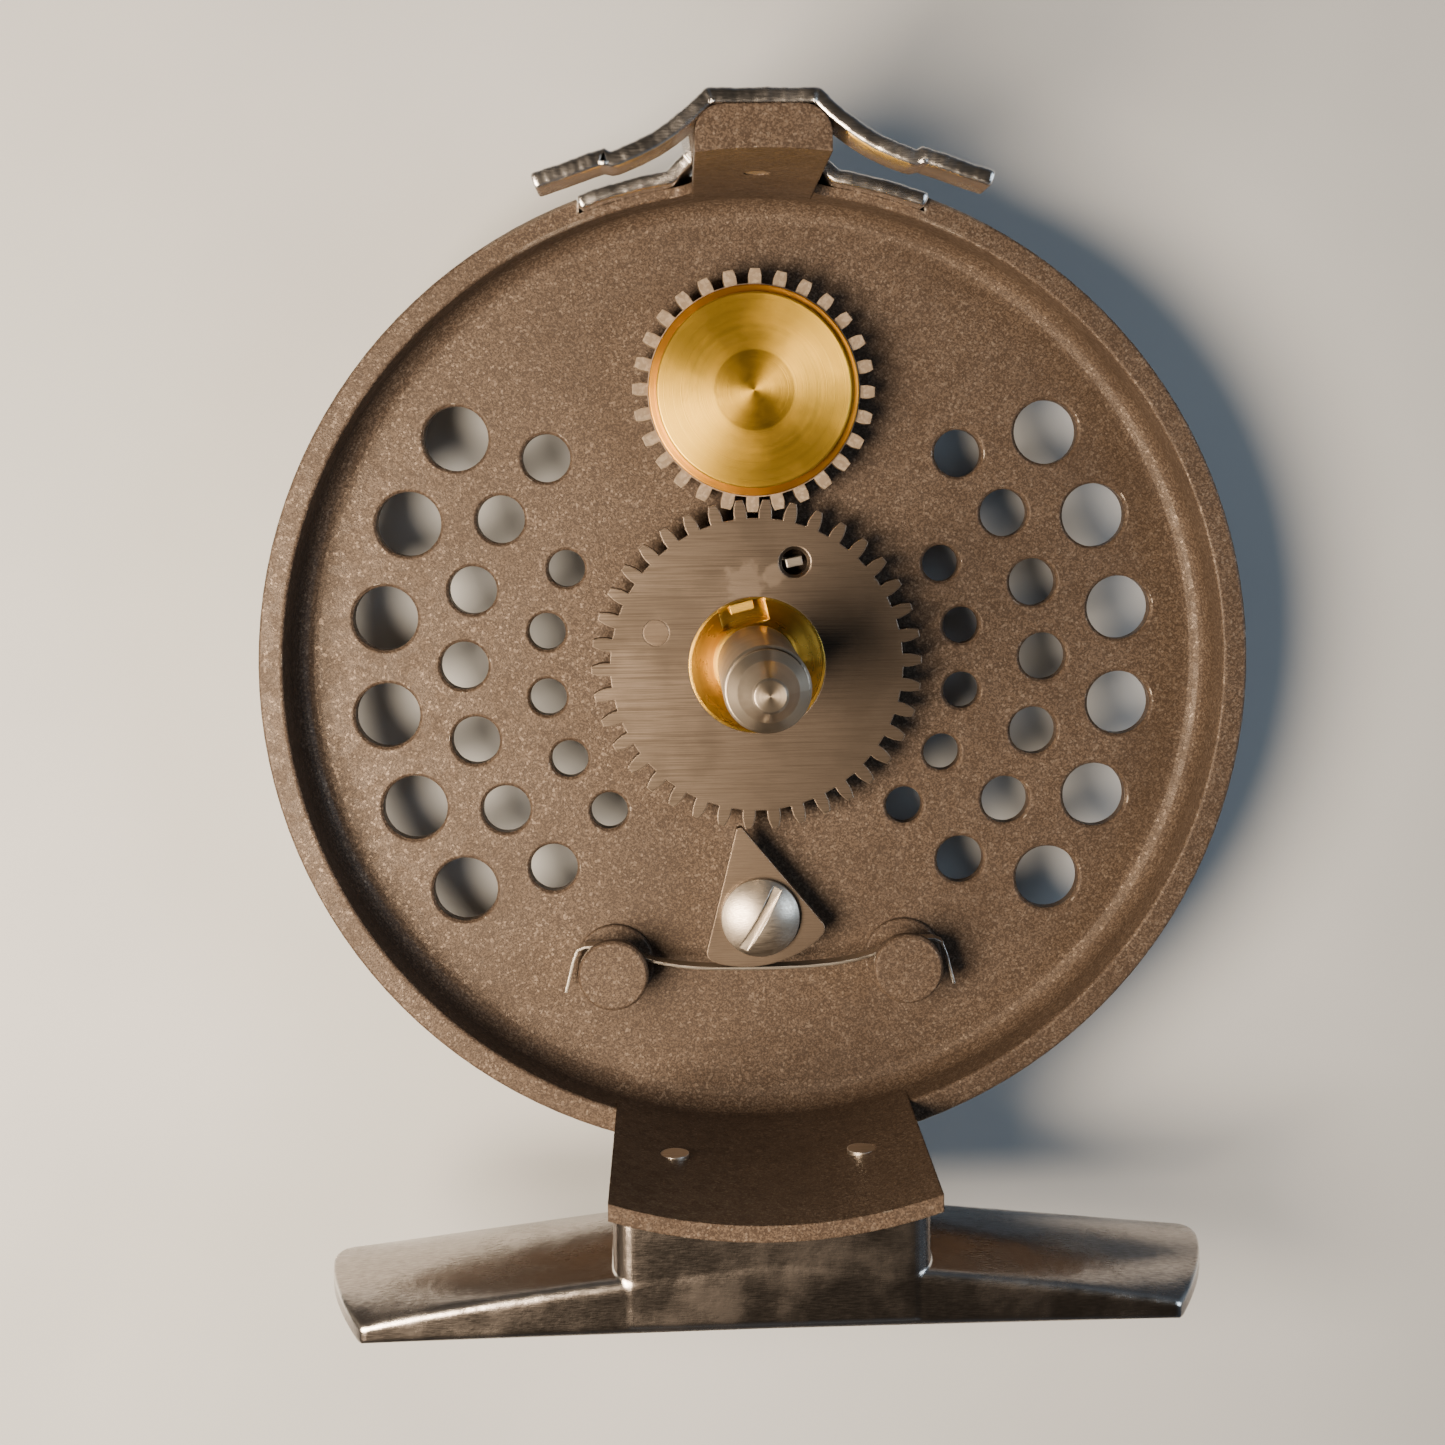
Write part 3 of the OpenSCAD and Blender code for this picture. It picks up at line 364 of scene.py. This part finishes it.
def makePlated(name, colour, dull, rough, dent, dentDepth, fine):
    # plating worn bright along edges and where a surface's edge value says so: partly wear, partly a
    # painted highlight
    made, tree, shader = newMaterial(name)
    scuff = useGroup(tree, patches, Patch=dent, Low=0.3, High=0.7)["Mask"]
    stain = useGroup(tree, patches, Patch=plating["stainPatch"], Low=0.4, High=0.7)["Mask"]
    marks = useGroup(tree, brushed, Long=plating["markLong"], Fine=fine)
    wear = makeWear(tree, plating)
    base = overlay(tree, stain, plating["stainShare"], colour, dull)
    base = overlay(tree, marks["Mask"], plating["markShare"], base,
                   scaled(colour, plating["markBright"]))
    # per-point edge value: worn plating plus a painted highlight along the foot's front upper edge
    rubbedAndHighlight = addNode(tree, "ShaderNodeAttribute", attribute_name="rubbedAndHighlight").outputs["Fac"]
    rubbedAndHighlight = calc(tree, "MULTIPLY", rubbedAndHighlight, blendValue(tree, scuff, plating["rubbedAndHighlightLeast"], 1.0))
    base = blendColour(tree, calc(tree, "MAXIMUM", wear["Mask"], rubbedAndHighlight), base, plating["bare"])
    roughness = stainedRoughness(tree, marks["Mask"], rough + plating["roughUp"],
                                 rough - plating["roughDown"], stain, plating["stainRough"])
    normal = bump(tree, scuff, dentDepth, plating["relief"], wear["Normal"])
    normal = bump(tree, marks["Height"], plating["markDepth"], plating["relief"], normal)
    wire(tree, shader, Base_Color=base, Roughness=roughness, Normal=normal)
    shader.inputs["Metallic"].default_value = 1.0
    return made


dulled = {"stainPatch": 3 * mm, "stainShare": 0.35, "stainDark": 0.6, "wearWidth": 0.15 * mm,
          "wearPatch": 0.6 * mm, "wearAmount": 0.6, "roughDown": 0.05, "roughUp": 0.08,
          "depth": 0.01 * mm, "relief": 0.6}


def makeDull(name, colour, light, rough, grainSize):
    made, tree, shader = newMaterial(name)
    grain = useGroup(tree, fleck, Grain=grainSize)
    stain = useGroup(tree, patches, Patch=dulled["stainPatch"], Low=0.4, High=0.7)["Mask"]
    wear = makeWear(tree, dulled)
    base = blendColour(tree, grain["Mask"], colour, light)
    base = overlay(tree, stain, dulled["stainShare"], base, scaled(colour, dulled["stainDark"]))
    roughness = blendValue(tree, grain["Mask"], rough - dulled["roughDown"], rough + dulled["roughUp"])
    normal = bump(tree, grain["Height"], dulled["depth"], dulled["relief"], wear["Normal"])
    wire(tree, shader, Base_Color=base, Roughness=roughness, Normal=normal)
    return made


def dress(nodeName, material):
    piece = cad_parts[nodeName]
    for index in range(max(1, len(piece.data.materials))):
        if index < len(piece.data.materials):
            piece.data.materials[index] = material
        else:
            piece.data.materials.append(material)


dragLow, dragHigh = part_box("drag_disc")
dragY = (dragLow[1] + dragHigh[1]) / 2

gunmetal = makePaint()
wheelSteel = makeSteel("wheelSteel", (0.085, 0.069, 0.055), (0.20, 0.165, 0.135), 0.38,
                       scuffs=[(-1, 7.6, 2.0), (1.6, 8.2, 1.2)])
pawlSteel = makeSteel("pawlSteel", (0.12, 0.095, 0.075), (0.21, 0.17, 0.135), 0.40, long=3 * mm)
stripSteel = makeSteel("stripSteel", (0.46, 0.43, 0.38), (0.66, 0.62, 0.56), 0.28, long=4 * mm)
spindleSteel = makeTurnedMetal("spindleSteel", (0.60, 0.53, 0.44), (0.26, 0.225, 0.18), 0.30, 0.0,
                               pitch=0.16 * mm)
screwSteel = makeSteel("screwSteel", (0.62, 0.56, 0.48), (0.80, 0.74, 0.66), 0.33, long=2 * mm,
                       fine=0.12 * mm)
discBrass = makeTurnedMetal("discBrass", (0.95, 0.64, 0.085), (0.78, 0.47, 0.05), 0.34, dragY,
                            inner=3.6 * mm)
hubBrass = makeTurnedMetal("hubBrass", (0.92, 0.62, 0.12), (0.60, 0.36, 0.06), 0.24, 0.0)
washerBronze = makeTurnedMetal("washerBronze", (0.90, 0.44, 0.05), (0.62, 0.28, 0.03), 0.32, dragY)
knobAlloy = makeTurnedMetal("knobAlloy", (0.40, 0.38, 0.36), (0.22, 0.20, 0.19), 0.34, dragY)
studSteel = makeTurnedMetal("studSteel", (0.50, 0.48, 0.45), (0.26, 0.24, 0.22), 0.3, dragY)
nylon = makeDull("nylon", (0.20, 0.155, 0.11), (0.28, 0.225, 0.165), 0.42, 0.25 * mm)
fibre = makeDull("fibre", (0.05, 0.03, 0.02), (0.10, 0.07, 0.05), 0.8, 0.2 * mm)
brightPlate = makePlated("brightPlate", (0.84, 0.83, 0.83), (0.58, 0.54, 0.51), 0.17, 1.4 * mm,
                         0.018 * mm, 0.08 * mm)
wornPlate = makePlated("wornPlate", (0.33, 0.30, 0.28), (0.15, 0.125, 0.11), 0.19, 2.5 * mm,
                       0.03 * mm, 0.1 * mm)

finishes = {
    gunmetal: ["frame", "spring_posts"], wheelSteel: ["click_wheel"],
    pawlSteel: ["click_pawl", "clutch_pin"],
    stripSteel: ["click_spring", "clutch_spring", "cup_springs"],
    screwSteel: ["pawl_screw", "spindle_screw", "knob_screw", "guard_screw", "foot_screws"],
    discBrass: ["drag_disc", "knob_insert"], hubBrass: ["wheel_hub", "clutch_pawl"],
    spindleSteel: ["spindle"], washerBronze: ["bronze_washer"], knobAlloy: ["drag_knob"],
    studSteel: ["drag_stud"], nylon: ["drag_wheel"], fibre: ["friction_washer"],
    brightPlate: ["line_guard"], wornPlate: ["foot"]}
for material, nodeNames in finishes.items():
    for nodeName in nodeNames:
        dress(nodeName, material)
print("stage: materials")


def skin(name, rings, material, rubbedAndHighlight=None):
    # rings of points, one closed loop per station, joined by quads and closed by a fan at each end
    count, around = rings.shape[:2]
    ends = rings[[0, -1]].mean(axis=1)
    points = np.concatenate([rings.reshape(-1, 3), ends])
    step = np.arange(around)
    after = np.roll(step, -1)
    rows = np.arange(count - 1)[:, None] * around
    quads = np.stack([rows + step, rows + after, rows + around + after, rows + around + step], -1)
    first, last = count * around, count * around + 1
    tail = (count - 1) * around
    fans = np.concatenate([np.stack([np.full(around, first), after, step], -1),
                           np.stack([np.full(around, last), tail + step, tail + after], -1)])
    mesh = bpy.data.meshes.new(name)
    mesh.from_pydata(points.tolist(), [], quads.reshape(-1, 4).tolist() + fans.tolist())
    mesh.materials.append(material)
    mesh.shade_smooth()
    # per-point edge brightness, partly wear and partly a painted highlight along a lit edge
    if rubbedAndHighlight is not None:
        values = np.concatenate([rubbedAndHighlight.reshape(-1), [0.0, 0.0]]).astype(np.float32)
        mesh.attributes.new("rubbedAndHighlight", "FLOAT", "POINT").data.foreach_set("value", values)
    piece = bpy.data.objects.new(name, mesh)
    bpy.context.scene.collection.objects.link(piece)
    faceOutwards(mesh)
    return piece


def faceOutwards(mesh):
    # the signed volume of a closed skin is negative when its faces point inwards
    points = np.empty(len(mesh.vertices) * 3)
    mesh.vertices.foreach_get("co", points)
    points = points.reshape(-1, 3)
    mesh.calc_loop_triangles()
    corners = np.empty(len(mesh.loop_triangles) * 3, dtype=np.int32)
    mesh.loop_triangles.foreach_get("vertices", corners)
    a, b, c = (points[corners.reshape(-1, 3)[:, k]] for k in range(3))
    if np.einsum("ij,ij->i", a, np.cross(b, c)).sum() < 0:
        mesh.flip_normals()


def join(name, pieces):
    # puts several closed skins in one object
    bpy.ops.object.select_all(action="DESELECT")
    for piece in pieces:
        piece.select_set(True)
    bpy.context.view_layer.objects.active = pieces[0]
    bpy.ops.object.join()
    pieces[0].name = name
    pieces[0].data.name = name
    return pieces[0]


def wander(along, scale, seed):
    # slow uneven waves: three sines of unrelated lengths
    turns = along / scale
    slow = np.sin(turns * 2.1 + seed)
    quick = 0.6 * np.sin(turns * 5.3 + 2.3 * seed) + 0.4 * np.sin(turns * 11.7 + seed * 4.1)
    return (slow + quick) / 2


def roundedLoop(halfWide, halfDeep, radius, steps=5):
    # a rectangle with round corners, as offsets wide and deep of shape (stations, points)
    turn = np.linspace(0, math.pi / 2, steps)
    angles = np.concatenate([turn + k * math.pi / 2 for k in range(4)])
    side = np.repeat(np.array([[1, 1], [-1, 1], [-1, -1], [1, -1]]), steps, axis=0)
    wide = side[:, 0] * (halfWide[:, None] - radius[:, None]) + radius[:, None] * np.cos(angles)
    deep = side[:, 1] * (halfDeep[:, None] - radius[:, None]) + radius[:, None] * np.sin(angles)
    return wide, deep


guardLow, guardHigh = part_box("line_guard")
guard = {"thick": 1.25 * mm, "topHalf": 4.45 * mm, "bend": 0.75 * mm, "sweep": 16.5 * mm,
         "armAngle": 19.0, "step": 0.4 * mm, "frontDeep": 5.0 * mm, "rearTop": 3.6 * mm,
         "rearHalf": 15.5 * mm, "saddleHalf": 6.3 * mm,
         "rimRadius": 44.4 * mm, "corner": 0.28 * mm, "wave": 0.05 * mm, "waveLong": 1.3 * mm,
         "flatGap": 0.3 * mm, "stepFrom": 0.2 * mm, "stepLong": 0.5 * mm, "rearFrom": 0.8 * mm,
         "notchFrom": 0.35 * mm, "notchLong": 0.5 * mm, "frontSeed": 0.7, "rearSeed": 1.9}


def guardFrontEdge():
    # outer edge from the middle to a tip: flat, round bend, hollow sweep, then a straight arm
    # stepped outwards
    top = guardHigh[1]
    tip = guardHigh[0]
    flat = np.stack([np.linspace(0, guard["topHalf"] - guard["flatGap"], 24), np.full(24, top)], -1)
    bendTo = np.array([guard["topHalf"] + guard["bend"], top - guard["bend"]])
    centre = bendTo + guard["sweep"] * math.sqrt(0.5)
    angles = np.radians(np.linspace(-135, -90 - guard["armAngle"], 40))
    sweep = centre + guard["sweep"] * np.stack([np.cos(angles), np.sin(angles)], -1)
    ease = np.linspace(0, 1, 9)[1:-1, None]
    knee = np.array([guard["topHalf"], top])
    bend = (1 - ease) ** 2 * flat[-1] + 2 * ease * (1 - ease) * knee + ease ** 2 * bendTo
    angle = math.radians(guard["armAngle"])
    way = np.array([math.cos(angle), -math.sin(angle)])
    out = np.array([math.sin(angle), math.cos(angle)])
    reach = (tip - sweep[-1][0]) / way[0]
    along = np.linspace(0, reach - guard["step"] * out[0] / way[0], 60)[1:]
    rise = np.clip((along - guard["stepFrom"]) / guard["stepLong"], 0, 1)
    rise = rise * rise * (3 - 2 * rise)
    arm = sweep[-1] + along[:, None] * way + (guard["step"] * rise)[:, None] * out
    return np.concatenate([flat, bend, sweep, arm])


def guardRearEdge():
    # outer edge of a rear arm: a straight slope down from the saddle, then an arc round the rim
    top = guardHigh[1]
    radius = guard["rimRadius"]
    drop = guard["topHalf"] + top
    foot = math.pi / 4 + math.acos(drop / math.sqrt(2) / radius)
    inside = guard["saddleHalf"] - guard["rearFrom"]
    start = np.array([inside, drop - inside])
    meet = radius * np.array([math.cos(foot), math.sin(foot)])
    slope = start + np.linspace(0, 1, 16)[:-1, None] * (meet - start)
    angles = np.linspace(foot, math.acos(guard["rearHalf"] / radius), 40)
    return np.concatenate([slope, radius * np.stack([np.cos(angles), np.sin(angles)], -1)])


def stripSkin(name, edge, low, high, seed):
    # a rounded strip carried along its outer edge; its ends shrink round like a quarter circle
    way = np.gradient(edge, axis=0)
    way /= np.linalg.norm(way, axis=1)[:, None]
    out = np.stack([-way[:, 1], way[:, 0]], -1)
    along = np.concatenate([[0], np.cumsum(np.linalg.norm(np.diff(edge, axis=0), axis=1))])
    corner = guard["corner"]
    toEnd = np.minimum(along[-1] - along, along)
    near = np.clip(corner - toEnd, 0, corner)
    inset = corner - np.sqrt(np.maximum(corner ** 2 - near ** 2, 0))
    wave = guard["wave"] * wander(along, guard["waveLong"], seed)
    low, high = low + inset, high - inset + wave * 0.8
    thick = guard["thick"] - 2 * inset + wave * 0.5
    middle = edge - out * (guard["thick"] / 2 - wave[:, None] * 0.6)
    radius = np.minimum(np.full_like(along, corner), thick / 2.05)
    wide, deep = roundedLoop(thick / 2, (high - low) / 2, radius)
    place = middle[:, None, :] + wide[:, :, None] * out[:, None, :]
    height = ((high + low) / 2)[:, None] + deep
    return skin(name, np.concatenate([place, height[:, :, None]], -1), brightPlate)


def makeGuard():
    # three rounded strips follow the guard's outer edge: one from tip to tip in front, stepped down
    # outside the saddle, and one down each rear arm and round the rim
    half = guardFrontEdge()
    fine = np.linspace(0, 1, 12)[1:-1, None] * (half[-1] - half[-2])
    half = np.concatenate([half[:-1], half[-2] + fine, half[-1:]])
    edge = np.concatenate([half[:0:-1] * [-1, 1], half])
    front = guardHigh[2] - guard["frontDeep"]
    beyond = np.abs(edge[:, 0]) - guard["saddleHalf"] + guard["notchFrom"]
    notch = np.clip(beyond / guard["notchLong"], 0, 1)
    low = guardLow[2] + (front - guardLow[2]) * notch
    high = np.full(len(edge), guardHigh[2])
    pieces = [stripSkin("guardFront", edge, low, high, guard["frontSeed"])]
    for sign in (1, -1):
        rear = guardRearEdge()
        if sign < 0:
            rear = rear[::-1] * [-1, 1]
        deep = np.full(len(rear), guardLow[2]), np.full(len(rear), guard["rearTop"])
        pieces.append(stripSkin("guardRear", rear, *deep, guard["rearSeed"] * sign))
    piece = join("lineGuard", pieces)
    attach(piece, "frame_body")
    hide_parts("line_guard")


footLow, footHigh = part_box("foot")
foot = {"frontHalf": 34.0 * mm, "tip": 1.4 * mm, "root": 4.5 * mm, "stemHalf": 13.3 * mm,
        "stemCorner": 1.9 * mm, "rootSag": 1.6 * mm, "tipSag": 3.0 * mm, "seat": 12.2 * mm,
        "land": 0.35 * mm, "pillarRadius": 43.6 * mm,
        "gap": 0.02 * mm, "lift": 0.7 * mm, "rubAndHighlightWidth": 0.3 * mm, "acrossPoints": 49, "wallPoints": 10}


def footUnderside(across):
    # the rod's hollow: an arc between two flat lands
    half = (footHigh[2] - footLow[2]) / 2
    edge = math.sqrt(foot["seat"] ** 2 - (half - foot["land"]) ** 2)
    arc = np.sqrt(foot["seat"] ** 2 - across ** 2) - edge
    return footLow[1] + np.maximum(arc, 0)


def footSection(x):
    # one loop across the foot at each x: a crown that tightens towards the tip, a flat front, the
    # hollow underside and a flat back
    half = (footHigh[2] - footLow[2]) / 2
    reach = footHigh[0] - foot["frontHalf"]
    endRadius = (half ** 2 + reach ** 2) / (2 * reach)
    beyond = np.clip(np.abs(x) - (footHigh[0] - endRadius), 0, endRadius)
    wide = np.minimum(half, np.sqrt(np.maximum(endRadius ** 2 - beyond ** 2, 0)))
    share = (np.abs(x) - foot["stemHalf"]) / (foot["frontHalf"] - foot["stemHalf"])
    rootArc, tipArc = ((half ** 2 + sag ** 2) / (2 * sag) for sag in (foot["rootSag"], foot["tipSag"]))
    radius = (rootArc + (tipArc - rootArc) * share)[:, None]
    rootTop, tipTop = foot["root"] + foot["rootSag"], foot["tip"] + foot["tipSag"]
    top = footLow[1] + (rootTop + (tipTop - rootTop) * share)[:, None]
    across = wide[:, None] * np.linspace(-1, 1, foot["acrossPoints"])
    crown = top - radius + np.sqrt(radius ** 2 - across ** 2)
    under = footUnderside(across)
    wall = np.linspace(0, 1, foot["wallPoints"] + 2)[1:-1]
    frontWall = crown[:, -1:] + (under[:, -1:] - crown[:, -1:]) * wall
    backWall = under[:, :1] + (crown[:, :1] - under[:, :1]) * wall
    y = np.concatenate([crown, frontWall, under[:, ::-1], backWall], axis=1)
    side = np.repeat(wide[:, None], foot["wallPoints"], 1)
    z = np.concatenate([across, side, across[:, ::-1], -side], axis=1)
    for _ in range(3):  # eases the four corners round
        y = (np.roll(y, 1, 1) + 2 * y + np.roll(y, -1, 1)) / 4
        z = (np.roll(z, 1, 1) + 2 * z + np.roll(z, -1, 1)) / 4
    middle = (footHigh[2] + footLow[2]) / 2
    away = np.hypot(y - crown[:, -1:], z - wide[:, None])  # distance from the front upper edge
    # bright band along the front upper edge: partly worn plating, partly a painted highlight where the
    # edge catches light
    rubbedAndHighlight = np.exp(-(away / foot["rubAndHighlightWidth"]) ** 2)
    return np.stack([np.repeat(x[:, None], y.shape[1], 1), y, z + middle], -1), rubbedAndHighlight


def refined(loop, parts=12):
    # puts evenly spaced points between each two neighbours of a closed loop
    share = np.arange(parts) / parts
    after = np.roll(loop, -1, axis=1)
    return (loop[:, :, None] + (after - loop)[:, :, None] * share).reshape(len(loop), -1)


def stemRings():
    # a rounded block from the rod's hollow up to the pillar's curve; both ends close on those two curves
    half = (footHigh[2] - footLow[2]) / 2
    size = np.ones(1)
    wide, deep = roundedLoop(size * foot["stemHalf"], size * (half + foot["gap"]),
                             size * foot["stemCorner"], steps=9)
    wide, deep = refined(wide), refined(deep)
    shrink = np.linspace(0.02, 1, 14)[:-1, None]
    flat = np.minimum(np.abs(deep), half - foot["land"])

    def floorAt(k):
        return np.maximum(footUnderside(flat * k), footLow[1] + foot["lift"]) + foot["gap"]

    def ceilingAt(k):
        return -np.sqrt(foot["pillarRadius"] ** 2 - (wide * k) ** 2) - foot["gap"]

    v = np.linspace(0, 1, 40)[:, None]
    one = np.ones_like(v)
    sides = floorAt(one) + (ceilingAt(one) - floorAt(one)) * v
    y = np.concatenate([floorAt(shrink), sides, ceilingAt(shrink[::-1])])
    k = np.concatenate([shrink, one, shrink[::-1]])
    middle = (footHigh[2] + footLow[2]) / 2
    return np.stack([wide * k, y, deep * k + middle], -1)


def makeFoot():
    # wings: sections along X whose half-width is even, then closes like a circle at each tip;
    # stem: a rounded block between the wings and the pillar
    end = footHigh[0]
    bow = np.linspace(0, math.pi / 2, 40)
    straight = np.linspace(0, foot["frontHalf"], 70)[:-1]
    tips = foot["frontHalf"] + (end - foot["frontHalf"]) * np.sin(bow)
    half = np.concatenate([straight, tips[:-1], [end - foot["gap"]]])
    x = np.concatenate([-half[:0:-1], half])
    rings, rubbedAndHighlight = footSection(x)
    wings = skin("footWings", rings, wornPlate, rubbedAndHighlight)
    stem = skin("footStem", stemRings(), wornPlate)
    piece = join("rodFoot", [wings, stem])
    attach(piece, "frame_body")
    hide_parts("foot")


makeGuard()
makeFoot()
print("stage: guard and foot")


floorPlan = {"half": 0.9, "gap": 0.05 * mm, "colour": (0.55, 0.59, 0.63), "shade": (0.49, 0.53, 0.57)}


def makeFloor():
    # a flat square just under the lowest point
    level = cadBounds[0][2] - floorPlan["gap"]
    steps = np.linspace(-floorPlan["half"], floorPlan["half"], 9)
    gridX, gridY = np.meshgrid(steps, steps)
    points = np.stack([gridX, gridY, np.full_like(gridX, level)], axis=-1).reshape(-1, 3)
    corner = (np.arange(8)[:, None] * 9 + np.arange(8)[None, :]).ravel()
    quads = np.stack([corner, corner + 1, corner + 10, corner + 9], axis=1)
    mesh = bpy.data.meshes.new("paleFloor")
    mesh.from_pydata(points.tolist(), [], quads.tolist())
    made, tree, shader = newMaterial("paleFloor")
    mottle = useGroup(tree, patches, Patch=60 * mm, Low=0.3, High=0.7)
    colour = blendColour(tree, mottle["Mask"], floorPlan["colour"], floorPlan["shade"])
    wire(tree, shader, Base_Color=colour)
    shader.inputs["Roughness"].default_value = 0.9
    mesh.materials.append(made)
    piece = bpy.data.objects.new("paleFloor", mesh)
    bpy.context.scene.collection.objects.link(piece)


makeFloor()

lamps = {
    "warmKey": {"place": (-0.115, -0.030, 0.170), "size": 0.13, "power": 1.55,
                "colour": (1.0, 0.78, 0.56)},
    "coolFill": {"place": (0.45, 0.05, 0.34), "size": 0.25, "power": 0.9,
                 "colour": (0.72, 0.86, 1.0)},
}


def makeLamp(name, plan):
    # a round soft lamp aimed at the origin
    light = bpy.data.lights.new(name, "AREA")
    light.shape = "DISK"
    light.size = plan["size"]
    light.energy = plan["power"]
    light.color = plan["colour"]
    lamp = bpy.data.objects.new(name, light)
    lamp.location = plan["place"]
    lamp.rotation_euler = (-Vector(plan["place"])).to_track_quat("-Z", "Y").to_euler()
    bpy.context.scene.collection.objects.link(lamp)


for name, plan in lamps.items():
    makeLamp(name, plan)

room = {"warmSide": (0.80, 0.66, 0.52), "coolSide": (0.52, 0.66, 0.84),
        "overhead": (0.16, 0.13, 0.10), "strength": 0.14}


def makeRoom():
    # soft walls, warm on the left and cool on the right, under a dim ceiling
    world = bpy.data.worlds.new("room")
    world.use_nodes = True
    tree = world.node_tree
    way = addNode(tree, "ShaderNodeTexCoord").outputs["Generated"]
    axes = addNode(tree, "ShaderNodeSeparateXYZ", {"Vector": way}).outputs
    walls = blendColour(tree, ramp(tree, axes["X"], -0.7, 0.7), room["warmSide"], room["coolSide"])
    shade = blendColour(tree, ramp(tree, axes["Z"], 0.35, 0.85), walls, room["overhead"])
    tree.links.new(shade, tree.nodes["Background"].inputs["Color"])
    tree.nodes["Background"].inputs["Strength"].default_value = room["strength"]
    bpy.context.scene.world = world


makeRoom()

view = {"place": (-7.14 * mm, 17.40 * mm, 173.40 * mm), "forward": (0.04267, -0.06319, -0.99709),
        "up": (0.01511, 0.99793, -0.06260), "lens": 48.04, "shiftX": -0.0257, "shiftY": -0.0885}


def makeCamera():
    lens = bpy.data.cameras.new("camera")
    lens.sensor_width = 36
    lens.lens = view["lens"]
    lens.shift_x = view["shiftX"]
    lens.shift_y = view["shiftY"]
    lens.clip_start = 0.01
    lens.clip_end = 20
    camera = bpy.data.objects.new("camera", lens)
    back = -Vector(view["forward"]).normalized()
    right = Vector(view["up"]).cross(back).normalized()
    up = back.cross(right)
    turn = Matrix((right, up, back)).transposed()
    camera.matrix_world = Matrix.Translation(view["place"]) @ turn.to_4x4()
    bpy.context.scene.collection.objects.link(camera)
    bpy.context.scene.camera = camera


makeCamera()
print("stage: floor, light and camera")
